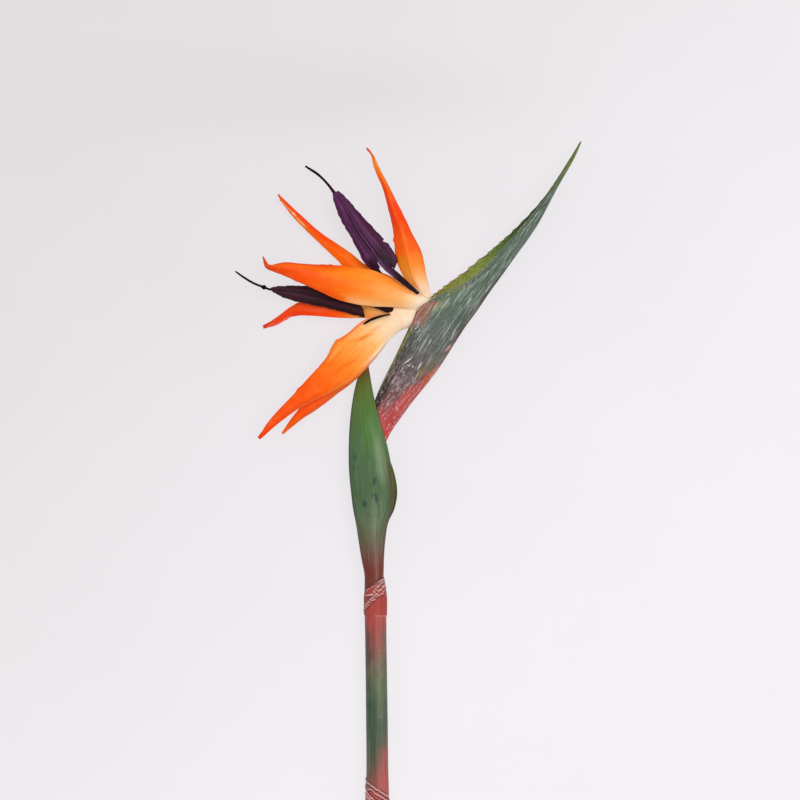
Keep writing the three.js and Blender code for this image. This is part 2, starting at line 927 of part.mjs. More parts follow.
const stalk = rod(STALK, STALK_SIDES, STALK_STEPS);
const upperOvary = rod(UPPER_OVARY, OVARY_SIDES, OVARY_STEPS);
const lowerOvary = rod(LOWER_OVARY, OVARY_SIDES, OVARY_STEPS);
const aroundUpperOvary = rod(UPPER_OVARY, OVARY_SIDES, OVARY_STEPS, { grow: CLEARANCE });
const aroundLowerOvary = rod(LOWER_OVARY, OVARY_SIDES, OVARY_STEPS, { grow: CLEARANCE });
const spathe = foldedBract(SPATHE, SPATHE_ROWS, SPATHE_COLUMNS);
const stemBract = join(foldedBract(STEM_BRACT, BRACT_ROWS, BRACT_COLUMNS), lips(UPPER_LIPS));
const lowerSheath = sheathBetween(STALK.route[0][1], LOWER_NODE_Y - CLEARANCE / 2);
const middleSheath = join(
  sheathBetween(LOWER_NODE_Y + CLEARANCE / 2, UPPER_NODE_Y - CLEARANCE / 2),
  lips(LOWER_LIPS),
);

const GREEN = "#4f7a55";
const BEAK_GREEN = "#5a7a6a";
const STEM_RED = "#a0504a";
const CREAM = "#f6dfae";
const ORANGE = "#ff8a3a";
const RED_ORANGE = "#e8452a";
const VIOLET = "#4b2c58";
const DARK_VIOLET = "#2a1a33";

const pieces = {
  stalk: [stalk, STEM_RED],
  lower_sheath: [lowerSheath, STEM_RED],
  middle_sheath: [middleSheath, GREEN],
  stem_bract: [stemBract, GREEN],
  spathe: [spathe, BEAK_GREEN],
  upper_ovary: [upperOvary, CREAM],
  lower_ovary: [lowerOvary, CREAM],
  upper_sepal_right: [sepal(UPPER_SEPAL_RIGHT).subtract(aroundUpperOvary), ORANGE],
  upper_sepal_back: [sepal(UPPER_SEPAL_BACK).subtract(aroundUpperOvary), ORANGE],
  upper_sepal_front: [sepal(UPPER_SEPAL_FRONT).subtract(aroundUpperOvary), ORANGE],
  lower_sepal_back: [sepal(LOWER_SEPAL_BACK).subtract(aroundLowerOvary), RED_ORANGE],
  lower_sepal_front: [sepal(LOWER_SEPAL_FRONT).subtract(aroundLowerOvary), ORANGE],
  lower_sepal_under: [sepal(LOWER_SEPAL_UNDER).subtract(aroundLowerOvary), ORANGE],
  upper_tongue: [tongue(UPPER_TONGUE), VIOLET],
  lower_tongue: [tongue(LOWER_TONGUE).subtract(aroundLowerOvary), VIOLET],
  upper_style: [thread(UPPER_STYLE, STYLE_RADIUS), DARK_VIOLET],
  lower_style: [thread(LOWER_STYLE, STYLE_RADIUS), DARK_VIOLET],
  lower_small_petal: [thread(LOWER_SMALL_PETAL, SMALL_PETAL_RADIUS), DARK_VIOLET],
};

const flower = new THREE.Group();
const surfaceAndAbove = above(0);
for (const [name, [solid, colour]] of Object.entries(pieces)) {
  const material = new THREE.MeshStandardMaterial({ color: colour, roughness: 0.55, metalness: 0 });
  const mesh = new THREE.Mesh(geometryFrom(solid.intersect(surfaceAndAbove)), material);
  mesh.name = name;
  flower.add(mesh);
}

export default flower;
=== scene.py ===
"""Dresses a cut bird of paradise flower that lies on a pale table.

Lengths in this file are millimetres, and depths count up from the head's mid-plane. Meshes are
written in metres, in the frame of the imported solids.
"""

import logging
import math
from abc import ABC, abstractmethod
from dataclasses import dataclass
from enum import Enum
from typing import Callable, Iterable, Sequence

import bpy
import numpy as np
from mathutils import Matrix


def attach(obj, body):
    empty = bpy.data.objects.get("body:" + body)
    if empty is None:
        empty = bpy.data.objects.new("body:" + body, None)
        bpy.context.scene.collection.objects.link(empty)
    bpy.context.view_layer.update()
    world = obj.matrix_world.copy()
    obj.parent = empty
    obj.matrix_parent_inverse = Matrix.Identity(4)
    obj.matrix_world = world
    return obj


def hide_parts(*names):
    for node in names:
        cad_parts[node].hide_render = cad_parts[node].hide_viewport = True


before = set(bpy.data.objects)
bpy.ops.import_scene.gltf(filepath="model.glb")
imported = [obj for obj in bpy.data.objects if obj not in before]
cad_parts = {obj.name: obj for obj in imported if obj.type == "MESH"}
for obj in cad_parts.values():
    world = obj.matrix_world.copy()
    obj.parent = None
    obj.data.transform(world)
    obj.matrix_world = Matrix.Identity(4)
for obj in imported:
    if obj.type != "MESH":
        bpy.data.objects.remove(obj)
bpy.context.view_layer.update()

LOG = logging.getLogger("flower")

MM = 0.001  # one millimetre in metres
MID_HEIGHT = 11.0  # how high the head's mid-plane lies over the table
MERGE = 1e-6  # points closer than this, in metres, are one
CORNER = math.radians(50)  # edges sharper than this stay sharp
SPINE_STEPS = 300  # how finely a middle line is drawn when faces are turned outwards
BREAK_SCALE = 700.0  # how finely a pale edge is broken up, in swings in a metre
DRIFT_SCALE = 90.0  # how finely the edge of a soft patch wanders, in swings in a metre
VEIL = 0.028  # how much light the gloss of a surface adds to its colour

Array = np.ndarray
Piece = bpy.types.Object
Material = bpy.types.Material
Colour = tuple[float, float, float]
Point = tuple[float, float, float]
Mark = Callable[[Array, Array, Array], Array]
Rule = Callable[[Array], Array]


# Curves


@dataclass(frozen=True)
class Rail:
    """A smooth curve through points of x, y and depth."""

    points: tuple[Point, ...]

    def at(self, t: Array) -> Array:
        """Places along the curve.

        Args:
            t: Shares of the way along, from 0 to 1.

        Returns:
            One row of x, y and height for each share.
        """
        nodes = np.array(self.points, float) + (0, 0, MID_HEIGHT)
        last = len(nodes) - 1
        nodes = np.vstack([2 * nodes[0] - nodes[1], nodes, 2 * nodes[-1] - nodes[-2]])
        place = np.clip(np.asarray(t, float), 0, 1) * last
        start = np.minimum(place.astype(int), last - 1)
        share = (place - start)[:, None]
        p0, p1, p2, p3 = (nodes[start + k] for k in range(4))
        d0, d1, d2 = (
            np.maximum(np.linalg.norm(b - a, axis=1) ** 0.5, 1e-2)[:, None]
            for a, b in ((p0, p1), (p1, p2), (p2, p3))
        )
        m1 = ((p1 - p0) / d0 - (p2 - p0) / (d0 + d1) + (p2 - p1) / d1) * d1
        m2 = ((p2 - p1) / d1 - (p3 - p1) / (d1 + d2) + (p3 - p2) / d2) * d1
        cubic = 2 * p1 - 2 * p2 + m1 + m2
        square = -3 * p1 + 3 * p2 - 2 * m1 - m2
        return ((cubic * share + square) * share + m1) * share + p1


@dataclass(frozen=True)
class Profile:
    """A smooth function of the way along, through evenly spaced values."""

    values: tuple[float, ...]

    def at(self, t: Array) -> Array:
        """The value at each share of the way along.

        Args:
            t: Shares of the way along, from 0 to 1.

        Returns:
            One value for each share.
        """
        steps = np.linspace(0, 1, len(self.values))
        t = np.clip(t, 0, 1)
        slope = np.gradient(np.array(self.values), steps)
        k = np.clip(np.searchsorted(steps, t, side="right") - 1, 0, len(steps) - 2)
        gap = steps[k + 1] - steps[k]
        s = (t - steps[k]) / gap
        a, b = np.array(self.values)[k], np.array(self.values)[k + 1]
        ease = s * s * (3 - 2 * s)
        bend = s * (1 - s) * gap * ((1 - s) * slope[k] - s * slope[k + 1])
        return a + (b - a) * ease + bend


def rail(*points: Point) -> Rail:
    """A rail through points."""
    return Rail(tuple(points))


def profile(*values: float) -> Profile:
    """A profile through values."""
    return Profile(tuple(values))


def smooth(edge0: float, edge1: float, x: Array) -> Array:
    """Eases from 0 at edge0 to 1 at edge1."""
    s = np.clip((x - edge0) / (edge1 - edge0), 0, 1)
    return s * s * (3 - 2 * s)


def bump(x: Array, centre: float, width: float) -> Array:
    """A smooth hump of height 1 round a centre."""
    return np.exp(-(((x - centre) / width) ** 2))


def wander(t: Array, seed: int, beats: float, turns: int = 9) -> Array:
    """An uneven wave, the same on each run.

    Args:
        t: Where it is read.
        seed: Which wave it is.
        beats: How many slow swings it makes from 0 to 1.
        turns: How many waves are added.

    Returns:
        Values between about -1 and 1.
    """
    draw = np.random.default_rng(seed)
    total = np.zeros_like(t)
    for k in range(turns):
        pitch = beats * (1 + 0.7 * k) * draw.uniform(0.8, 1.2)
        total += np.sin(2 * np.pi * (pitch * t + draw.uniform())) / (1 + 0.6 * k)
    return total / 2.2


# Mesh work


def deselect() -> None:
    """Leaves edit mode and selects nothing."""
    if bpy.context.object and bpy.context.object.mode != "OBJECT":
        bpy.ops.object.mode_set(mode="OBJECT")
    bpy.ops.object.select_all(action="DESELECT")


def only(piece: Piece) -> None:
    """Selects one piece alone and makes it the active one.

    Args:
        piece: The piece.
    """
    deselect()
    piece.select_set(True)
    bpy.context.view_layer.objects.active = piece


def apply_modifier(piece: Piece, kind: str, **settings: object) -> None:
    """Adds a modifier to a piece, sets it up and applies it.

    Args:
        piece: The piece.
        kind: The modifier's type.
        settings: Its settings, by name.
    """
    only(piece)
    bpy.ops.object.modifier_add(type=kind)
    modifier = piece.modifiers[-1]
    for name, value in settings.items():
        setattr(modifier, name, value)
    bpy.ops.object.modifier_apply(modifier=modifier.name)


def positions(mesh: bpy.types.Mesh) -> Array:
    """The vertices of a mesh, one row each.

    Args:
        mesh: The mesh.

    Returns:
        Their places.
    """
    places = np.empty(3 * len(mesh.vertices))
    mesh.vertices.foreach_get("co", places)
    return places.reshape(-1, 3)


def soften(piece: Piece, keep_corners: bool = False) -> None:
    """Shades a piece smoothly, and keeps its sharp corners if asked to."""
    only(piece)
    if keep_corners:
        bpy.ops.object.shade_smooth_by_angle(angle=CORNER)
    else:
        bpy.ops.object.shade_smooth()


def nearest(line: Array) -> Rule:
    """Finds the closest place on a line.

    Args:
        line: Places along the line, one row each.

    Returns:
        A rule that gives the closest of them to each point.
    """

    def rule(points: Array) -> Array:
        """The closest place to each point."""
        gaps = np.linalg.norm(points[:, None] - line[None], axis=2)
        return line[gaps.argmin(1)]

    return rule


class Facing(Enum):
    """Which way the first side of a surface looks."""

    UP = "up"
    OUT = "out"


def face(piece: Piece, facing: Facing, spine: Rule | None = None) -> None:
    """Turns a surface round if its faces look the wrong way.

    Args:
        piece: The piece, an open surface or a closed one.
        facing: The way its faces should look.
        spine: For Facing.OUT, gives the middle of the piece next to each point, in metres.
    """
    mesh = piece.data
    centres = np.empty(3 * len(mesh.polygons))
    normals = np.empty(3 * len(mesh.polygons))
    areas = np.empty(len(mesh.polygons))
    mesh.polygons.foreach_get("center", centres)
    mesh.polygons.foreach_get("normal", normals)
    mesh.polygons.foreach_get("area", areas)
    centres, normals = centres.reshape(-1, 3), normals.reshape(-1, 3)
    wanted = np.array([(0.0, 0.0, 1.0)]) if facing is Facing.UP else centres - spine(centres)
    if ((normals * wanted).sum(1) * areas).sum() < 0:
        only(piece)
        bpy.ops.object.mode_set(mode="EDIT")
        bpy.ops.mesh.select_all(action="SELECT")
        bpy.ops.mesh.flip_normals()
        bpy.ops.object.mode_set(mode="OBJECT")


class Shape(ABC):
    """A surface with a way along it, t from 0 to 1, and across it, w from -1 to 1."""

    @abstractmethod
    def place(self, t: Array, w: Array) -> Array:
        """Points of the surface in mm, one row for each t and w."""

    def marks(self) -> dict[str, Mark]:
        """Named values for the finish, as functions of t, w and the points in mm."""
        return {}

    def drawn(self, name: str, rows: int, columns: int) -> Piece:
        """Draws the surface out of a grid.

        Args:
            name: The new piece's name.
            rows: How many faces it has along.
            columns: How many it has across.

        Returns:
            The piece, an open sheet whose UV map holds w and t.
        """
        deselect()
        bpy.ops.mesh.primitive_grid_add(x_subdivisions=columns, y_subdivisions=rows, size=1, calc_uvs=True)
        piece = bpy.context.object
        piece.name = piece.data.name = name
        flat = positions(piece.data)
        t, w = flat[:, 1] + 0.5, 2 * flat[:, 0]
        points = self.place(t, w)
        piece.data.vertices.foreach_set("co", (points * MM).ravel())
        for mark, rule in self.marks().items():
            layer = piece.data.attributes.new(mark, "FLOAT", "POINT")
            layer.data.foreach_set("value", rule(t, w, points).astype(np.float32))
        piece.data.update()
        return piece


@dataclass(frozen=True)
class Nick:
    """A burr or a notch in the margin of a blade."""

    side: int
    at: float
    reach: float
    width: float


@dataclass(frozen=True)
class Fold:
    """A soft groove in a blade, from one place of t and w to another."""

    start: tuple[float, float]
    end: tuple[float, float]
    depth: float
    width: float

    def relief(self, t: Array, w: Array) -> Array:
        """How far the groove lowers each place, in mm.

        Args:
            t: The way along, 0 to 1.
            w: The way across, -1 to 1.

        Returns:
            One depth for each place.
        """
        (t0, w0), (t1, w1) = self.start, self.end
        share = (t - t0) / (t1 - t0)
        run = smooth(-0.15, 0.25, share) * (1 - smooth(0.75, 1.15, share))
        return self.depth * run * bump(w, w0 + (w1 - w0) * share, self.width)


@dataclass(frozen=True)
class Blade(Shape):
    """A petal between two margins, arched or folded along its rib."""

    left: Rail
    rib: Rail
    right: Rail
    sharpness: float = 1.35
    nicks: tuple[Nick, ...] = ()
    folds: tuple[Fold, ...] = ()
    ragged: float = 0.12
    ripple: float = 0.25
    swell: float = 0.0
    fray: float = 0.0
    seed: int = 1

    def place(self, t: Array, w: Array) -> Array:
        """Points of the petal, with its nicks and small waves.

        Args:
            t: The way along, 0 to 1.
            w: The way across, -1 to 1.

        Returns:
            One row of x, y and height for each place.
        """
        a, b, c = self.left.at(t), self.rib.at(t), self.right.at(t)
        side = np.abs(w)[:, None]
        chord = (c - a) / 2
        width = np.linalg.norm(chord, axis=1)
        points = b + chord * w[:, None] + ((a + c) / 2 - b) * side**self.sharpness
        out = chord / np.maximum(width, 0.1)[:, None]
        push = np.zeros_like(t)
        for nick in self.nicks:
            near = np.clip(w * nick.side, 0, 1) ** 8
            push += nick.side * nick.reach * bump(t, nick.at, nick.width) * near
        fade = smooth(0.0, 0.12, t)
        rough = np.where(w > 0, wander(t, self.seed, 7), wander(t, self.seed + 50, 7))
        push += np.sign(w) * self.ragged * fade * rough * np.abs(w) ** 6
        points = points + out * push[:, None]
        wave = wander(t + 0.13 * w, self.seed + 90, 2.2, 5) * np.clip(width / 5, 0, 1)
        points[:, 2] += self.ripple * fade * wave * (0.3 + 0.7 * np.abs(w))
        points[:, 2] += self.swell * np.sin(np.pi * np.abs(w)) * fade
        for fold in self.folds:
            points[:, 2] -= fold.relief(t, w)
        step = self.rib.at(np.array([0.96, 1.0]))
        onward = (step[1] - step[0]) / np.linalg.norm(step[1] - step[0])
        torn = self.fray * wander(w / 2 + 0.5, self.seed + 30, 4) * smooth(0.88, 1, t)
        return points + onward * torn[:, None]


@dataclass(frozen=True)
class Folded(Shape):
    """A bract folded along its keel, with its two margins close together."""

    keel: Rail
    near: Rail
    far: Rail
    depth: Profile
    roundness: Profile
    teeth: float = 0.0
    teeth_from: float = 0.3
    teeth_to: float = 0.9
    tooth_count: int = 40
    seed: int = 1

    def section(self, t: Array, w: Array) -> Array:
        """The bract's smooth form.

        Args:
            t: The way along, 0 to 1.
            w: The way across, -1 to 1.

        Returns:
            One row of x, y and height for each place.
        """
        s = np.abs(w)
        base = self.keel.at(t)
        margin = np.where((w < 0)[:, None], self.near.at(t), self.far.at(t))
        lean = margin[:, 2] - base[:, 2]
        turn = self.roundness.at(t)
        reach = s + ((1 - np.cos(np.pi * s)) / 2 - s) * turn
        swell = np.maximum(self.depth.at(t) - np.abs(lean) / 2, 0) * np.sin(np.pi * s)
        points = base + (margin - base) * reach[:, None]
        points[:, 2] = base[:, 2] + lean * s + np.where(w < 0, 1, -1) * swell
        return points

    def place(self, t: Array, w: Array) -> Array:
        """Points of the bract, with the teeth of its far margin and small waves.

        Args:
            t: The way along, 0 to 1.
            w: The way across, -1 to 1.

        Returns:
            One row of x, y and height for each place.
        """
        points = self.section(t, w)
        outward = self.far.at(t) - self.keel.at(t)
        outward /= np.maximum(np.linalg.norm(outward, axis=1), 0.1)[:, None]
        here = smooth(self.teeth_from, self.teeth_from + 0.06, t)
        here = here * (1 - smooth(self.teeth_to - 0.1, self.teeth_to, t))
        beat = np.abs(np.sin(np.pi * (self.tooth_count * t + 0.6 * wander(t, self.seed, 5))))
        tooth = self.teeth * here * (0.5 - beat**0.7) * (1 + 0.5 * wander(t, self.seed + 3, 11))
        points += outward * (tooth * np.clip(w, 0, 1) ** 16)[:, None]
        sway = 0.18 * wander(t * 0.9 + 0.25 * w, self.seed + 7, 3.5, 6) * smooth(0.05, 0.2, t)
        points[:, 2] += sway * np.sin(np.pi * np.abs(w))
        return points


@dataclass(frozen=True)
class Tube(Shape):
    """A round rod along a route. w turns once round it, from underneath and back."""

    route: Rail
    radius: Profile
    closed: bool = True
    cap: float = 0.03

    def frame_at(self, t: Array) -> tuple[Array, Array, Array]:
        """The route's place, its direction to the side and its direction up at each t.

        Args:
            t: The way along, 0 to 1.

        Returns:
            The three of them, one row for each t.
        """
        step = 1e-3
        along = self.route.at(np.minimum(t + step, 1)) - self.route.at(np.maximum(t - step, 0))
        along /= np.linalg.norm(along, axis=1)[:, None]
        side = np.cross(along, (0.0, 0.0, 1.0))
        side /= np.linalg.norm(side, axis=1)[:, None]
        return self.route.at(t), side, np.cross(side, along)

    def relief(self, t: Array, angle: Array, points: Array) -> Array:
        """How far the surface stands out from the round, in mm.

        Args:
            t: The way along, 0 to 1.
            angle: The way round, in radians.
            points: The places on the round rod.

        Returns:
            One height for each place.
        """
        return np.zeros_like(t)

    def place(self, t: Array, w: Array) -> Array:
        """Points of the rod. A closed one draws in to a point over each end.

        Args:
            t: The way along, 0 to 1.
            w: The way across, -1 to 1.

        Returns:
            One row of x, y and height for each place.
        """
        run = np.clip((t - self.cap) / (1 - 2 * self.cap), 0, 1) if self.closed else t
        centre, side, up = self.frame_at(run)
        radius = self.radius.at(run)
        if self.closed:
            radius = radius * np.sqrt(smooth(0, self.cap, t) * smooth(0, self.cap, 1 - t))
        angle = np.pi * w
        round_ = side * np.sin(angle)[:, None] + up * np.cos(angle)[:, None]
        points = centre + round_ * radius[:, None]
        return points + round_ * self.relief(run, angle, points)[:, None]


def tube_piece(shape: Tube, name: str, rows: int, columns: int) -> Piece:
    """Draws a rod, closes its seam and turns its faces out.

    Args:
        shape: The rod's form.
        name: The new piece's name.
        rows: How many faces it has along.
        columns: How many it has round it.

    Returns:
        The piece.
    """
    piece = shape.drawn(name, rows, columns)
    only(piece)
    bpy.ops.object.mode_set(mode="EDIT")
    bpy.ops.mesh.select_all(action="SELECT")
    bpy.ops.mesh.remove_doubles(threshold=MERGE)
    bpy.ops.object.mode_set(mode="OBJECT")
    face(piece, Facing.OUT, nearest(shape.route.at(np.linspace(0, 1, SPINE_STEPS)) * MM))
    return piece


def thicken(
    piece: Piece,
    wall: float,
    share: Array,
    offset: float,
    inner_slot: int = 0,
    rim_slot: int = 0,
    rounds: int = 1,
) -> None:
    """Gives a surface its thickness and rounds it.

    Args:
        piece: The open surface.
        wall: The full thickness in mm.
        share: The share of it that each vertex gets.
        offset: 0 to grow on both sides, -1 to grow inwards.
        inner_slot: How many material slots on the second side's material is.
        rim_slot: How many slots on the edge's material is.
        rounds: How many times it is subdivided.
    """
    group = piece.vertex_groups.new(name="wall")
    for index, value in enumerate(share):
        group.add([index], float(value), "REPLACE")
    apply_modifier(
        piece,
        "SOLIDIFY",
        thickness=wall * MM,
        offset=offset,
        vertex_group="wall",
        material_offset=inner_slot,
        material_offset_rim=rim_slot,
    )
    piece.vertex_groups.clear()
    if rounds:
        apply_modifier(piece, "SUBSURF", levels=rounds, render_levels=rounds)
    soften(piece)


# Finishes


def linear(rgb: Colour) -> tuple[float, float, float, float]:
    """The shader's value for a colour as it is seen, 0 to 255, under the gloss of its surface.

    Args:
        rgb: The colour.

    Returns:
        The value, with its alpha.
    """
    shares = (c / 255 for c in rgb)
    seen = (s / 12.92 if s <= 0.04045 else ((s + 0.055) / 1.055) ** 2.4 for s in shares)
    return tuple(max(s - VEIL, 0.0) / (1 - VEIL) for s in seen) + (1.0,)


@dataclass(frozen=True)
class Wash:
    """A soft-edged patch of colour.

    x and y are its middle, along and across its half sizes in mm, turn its direction in degrees
    from +X, and soft the share of it that fades.
    """

    x: float
    y: float
    along: float
    across: float
    turn: float
    colour: Colour
    strength: float = 1.0
    soft: float = 0.8


@dataclass(frozen=True)
class Band:
    """A soft-edged strip of colour in a surface's own t, 0 to 1, and way across, 0 to 1."""

    along: tuple[float, float]
    across: tuple[float, float]
    colour: Colour
    strength: float = 1.0
    soft: tuple[float, float] = (0.05, 0.02)


Stops = tuple[tuple[float, Colour], ...]
Socket = bpy.types.NodeSocket


class Sum(Enum):
    """A step of arithmetic in a material."""

    TIMES = "MULTIPLY"
    PLUS = "ADD"
    LESS = "SUBTRACT"
    SIZE = "ABSOLUTE"


class Blend(Enum):
    """How one colour lies on another."""

    OVER = "MIX"
    TIMES = "MULTIPLY"


class Painter:
    """Builds one material out of nodes."""

    def __init__(self, name: str) -> None:
        """Starts a material with an empty shader.

        Args:
            name: The material's name.
        """
        self.material = bpy.data.materials.new(name)
        self.material.use_nodes = True
        self.tree = self.material.node_tree
        self.tree.nodes.clear()
        self.shader = self.add("ShaderNodeBsdfPrincipled")
        output = self.add("ShaderNodeOutputMaterial")
        self.tree.links.new(self.shader.outputs[0], output.inputs[0])
        coordinates = self.add("ShaderNodeTexCoord")
        self.spot = coordinates.outputs["Object"]
        self.uv = coordinates.outputs["UV"]
        split = self.add("ShaderNodeSeparateXYZ")
        self.feed(split.inputs[0], self.uv)
        self.across, self.along = split.outputs[0], split.outputs[1]

    def add(self, kind: str, **settings: object) -> bpy.types.Node:
        """Adds a node and sets it up.

        Args:
            kind: The node's type.
            settings: Its settings, by name.

        Returns:
            The node.
        """
        node = self.tree.nodes.new(kind)
        for name, value in settings.items():
            setattr(node, name, value)
        return node

    def feed(self, socket: Socket, value: object) -> None:
        """Links a socket into an input, or sets the input's own value.

        Args:
            socket: The input.
            value: A socket, or a plain value.
        """
        if isinstance(value, bpy.types.NodeSocket):
            self.tree.links.new(value, socket)
        else:
            socket.default_value = value

    def reckon(self, step: Sum, first: object, second: object = 0.0, clamp: bool = False) -> Socket:
        """Does a step of arithmetic.

        Args:
            step: Which step.
            first: A socket or a number.
            second: The other one, where the step takes two.
            clamp: Whether the result is kept between 0 and 1.

        Returns:
            The result.
        """
        node = self.add("ShaderNodeMath", operation=step.value, use_clamp=clamp)
        self.feed(node.inputs[0], first)
        self.feed(node.inputs[1], second)
        return node.outputs[0]

    def times(self, first: object, second: object) -> Socket:
        """One value times another."""
        return self.reckon(Sum.TIMES, first, second)

    def plus(self, first: object, second: object, clamp: bool = False) -> Socket:
        """Two values added up."""
        return self.reckon(Sum.PLUS, first, second, clamp)

    def less(self, first: object, second: object) -> Socket:
        """One value less another."""
        return self.reckon(Sum.LESS, first, second)

    def off_middle(self, value: Socket) -> Socket:
        """How far a value lies from 0.5."""
        return self.reckon(Sum.SIZE, self.less(value, 0.5))

    def rescale(
        self, value: object, low: float, high: float, to_low: float = 0.0, to_high: float = 1.0
    ) -> Socket:
        """Eases a value from one range to another.

        Args:
            value: The value.
            low: Where its range starts.
            high: Where its range ends.
            to_low: What it becomes at low.
            to_high: What it becomes at high.

        Returns:
            The new value.
        """
        node = self.add("ShaderNodeMapRange", interpolation_type="SMOOTHSTEP")
        for socket, number in zip(node.inputs, (value, low, high, to_low, to_high)):
            self.feed(socket, number)
        return node.outputs[0]

    def mix(self, share: object, first: object, second: object, blend: Blend = Blend.OVER) -> Socket:
        """Mixes two colours.

        Args:
            share: How much of the second one shows.
            first: The colour underneath.
            second: The colour on top.
            blend: How it lies there.

        Returns:
            The mixed colour.
        """
        node = self.add("ShaderNodeMix", data_type="RGBA", blend_type=blend.value)
        for index, value in ((0, share), (6, first), (7, second)):
            self.feed(node.inputs[index], value)
        return node.outputs[2]

    def tint(self, colour: Socket, share: object, shade: Colour) -> Socket:
        """Lays a plain shade over a colour, as strongly as the share says."""
        return self.mix(share, colour, linear(shade))

    def ramp(self, share: object, stops: Stops) -> Socket:
        """Runs through colours.

        Args:
            share: The way along them, 0 to 1.
            stops: Each colour and its place.

        Returns:
            The colour.
        """
        node = self.add("ShaderNodeValToRGB")
        elements = node.color_ramp.elements
        elements[0].position, elements[0].color = stops[0][0], linear(stops[0][1])
        elements[1].position, elements[1].color = stops[-1][0], linear(stops[-1][1])
        for position, colour in stops[1:-1]:
            elements.new(position).color = linear(colour)
        self.feed(node.inputs[0], share)
        return node.outputs[0]

    def stretched(self, vector: Socket, scale: Sequence[float], turn: float = 0.0) -> Socket:
        """A coordinate turned by an angle in degrees and then scaled along each axis.

        Args:
            vector: The coordinate.
            scale: Its scale along each axis.
            turn: The angle in degrees.

        Returns:
            The new coordinate.
        """
        turned = self.add("ShaderNodeVectorRotate", rotation_type="Z_AXIS")
        self.feed(turned.inputs["Vector"], vector)
        self.feed(turned.inputs["Angle"], math.radians(turn))
        scaled = self.add("ShaderNodeVectorMath", operation="MULTIPLY")
        self.feed(scaled.inputs[0], turned.outputs[0])
        self.feed(scaled.inputs[1], tuple(scale))
        return scaled.outputs[0]

    def noise(self, vector: Socket, scale: float = 1.0, detail: float = 2.0, rough: float = 0.5) -> Socket:
        """Even noise between 0 and 1.

        Args:
            vector: The coordinate that it follows.
            scale: How many swings it makes in one unit of it.
            detail: How many finer layers it has.
            rough: How strong these are.

        Returns:
            The noise.
        """
        node = self.add("ShaderNodeTexNoise")
        self.feed(node.inputs["Vector"], vector)
        self.feed(node.inputs["Scale"], scale)
        self.feed(node.inputs["Detail"], detail)
        self.feed(node.inputs["Roughness"], rough)
        return node.outputs["Fac"]

    def cells(self, vector: Socket, scale: float) -> bpy.types.Node:
        """Splits space into cells.

        Args:
            vector: The coordinate that they follow.
            scale: How many fit in one unit of it.

        Returns:
            The node, with each place's distance from its cell's middle and the cell's own colour.
        """
        node = self.add("ShaderNodeTexVoronoi")
        self.feed(node.inputs["Vector"], vector)
        self.feed(node.inputs["Scale"], scale)
        return node

    def mark(self, name: str) -> Socket:
        """A value that the mesh holds at each point."""
        return self.add("ShaderNodeAttribute", attribute_name=name).outputs["Fac"]

    def washed(self, colour: Socket, washes: Iterable[Wash], wobble: float = 2.0) -> Socket:
        """Lays soft patches over a colour.

        Args:
            colour: What lies underneath.
            washes: The patches, the lowest first.
            wobble: How far their edges wander, in mm.

        Returns:
            The colour with all the patches on it.
        """
        drift = self.add("ShaderNodeTexNoise")
        self.feed(drift.inputs["Vector"], self.spot)
        self.feed(drift.inputs["Scale"], DRIFT_SCALE)
        self.feed(drift.inputs["Detail"], 3.0)
        centred = self.add("ShaderNodeVectorMath", operation="SUBTRACT")
        self.feed(centred.inputs[0], drift.outputs["Color"])
        self.feed(centred.inputs[1], (0.5, 0.5, 0.5))
        moved = self.add("ShaderNodeVectorMath", operation="MULTIPLY_ADD")
        self.feed(moved.inputs[0], centred.outputs[0])
        self.feed(moved.inputs[1], (wobble * 4 * MM, wobble * 4 * MM, 0.0))
        self.feed(moved.inputs[2], self.spot)
        for wash in washes:
            local = self.add("ShaderNodeMapping", vector_type="TEXTURE")
            self.feed(local.inputs["Vector"], moved.outputs[0])
            self.feed(local.inputs["Location"], (wash.x * MM, wash.y * MM, 0.0))
            self.feed(local.inputs["Rotation"], (0.0, 0.0, math.radians(wash.turn)))
            self.feed(local.inputs["Scale"], (wash.along * MM, wash.across * MM, 10.0))
            length = self.add("ShaderNodeVectorMath", operation="LENGTH")
            self.feed(length.inputs[0], local.outputs[0])
            share = self.rescale(length.outputs["Value"], 1.0, 1.0 - wash.soft, 0.0, wash.strength)
            colour = self.tint(colour, share, wash.colour)
        return colour

    def strip(self, value: Socket, limits: tuple[float, float], soft: float) -> Socket:
        """1 between two limits, fading out past both.

        Args:
            value: The value.
            limits: The two limits.
            soft: How far it takes to fade.

        Returns:
            The strip.
        """
        low, high = limits
        rise = self.rescale(value, low - soft, low + soft / 3)
        fall = self.rescale(value, high + soft, high - soft / 3)
        return self.times(rise, fall)

    def banded(self, colour: Socket, bands: Iterable[Band], wobble: float = 0.02) -> Socket:
        """Lays soft strips over a colour, the lowest first, with edges that wander along.

        Args:
            colour: What lies underneath.
            bands: The strips.
            wobble: How far their ends wander, in shares of t.

        Returns:
            The colour with all the strips on it.
        """
        if not bands:
            return colour
        drift = self.noise(self.spot, 120.0, 3.0, 0.6)
        shift = self.times(self.less(drift, 0.5), 4 * wobble)
        along = self.plus(self.along, shift)
        for band in bands:
            colour = self.tint(colour, self.times(self.inside(along, band), band.strength), band.colour)
        return colour

    def inside(self, along: Socket, band: Band) -> Socket:
        """1 inside a band, fading out past its limits."""
        ways = ((along, band.along, band.soft[0]), (self.across, band.across, band.soft[1]))
        return self.times(*(self.strip(*way) for way in ways))

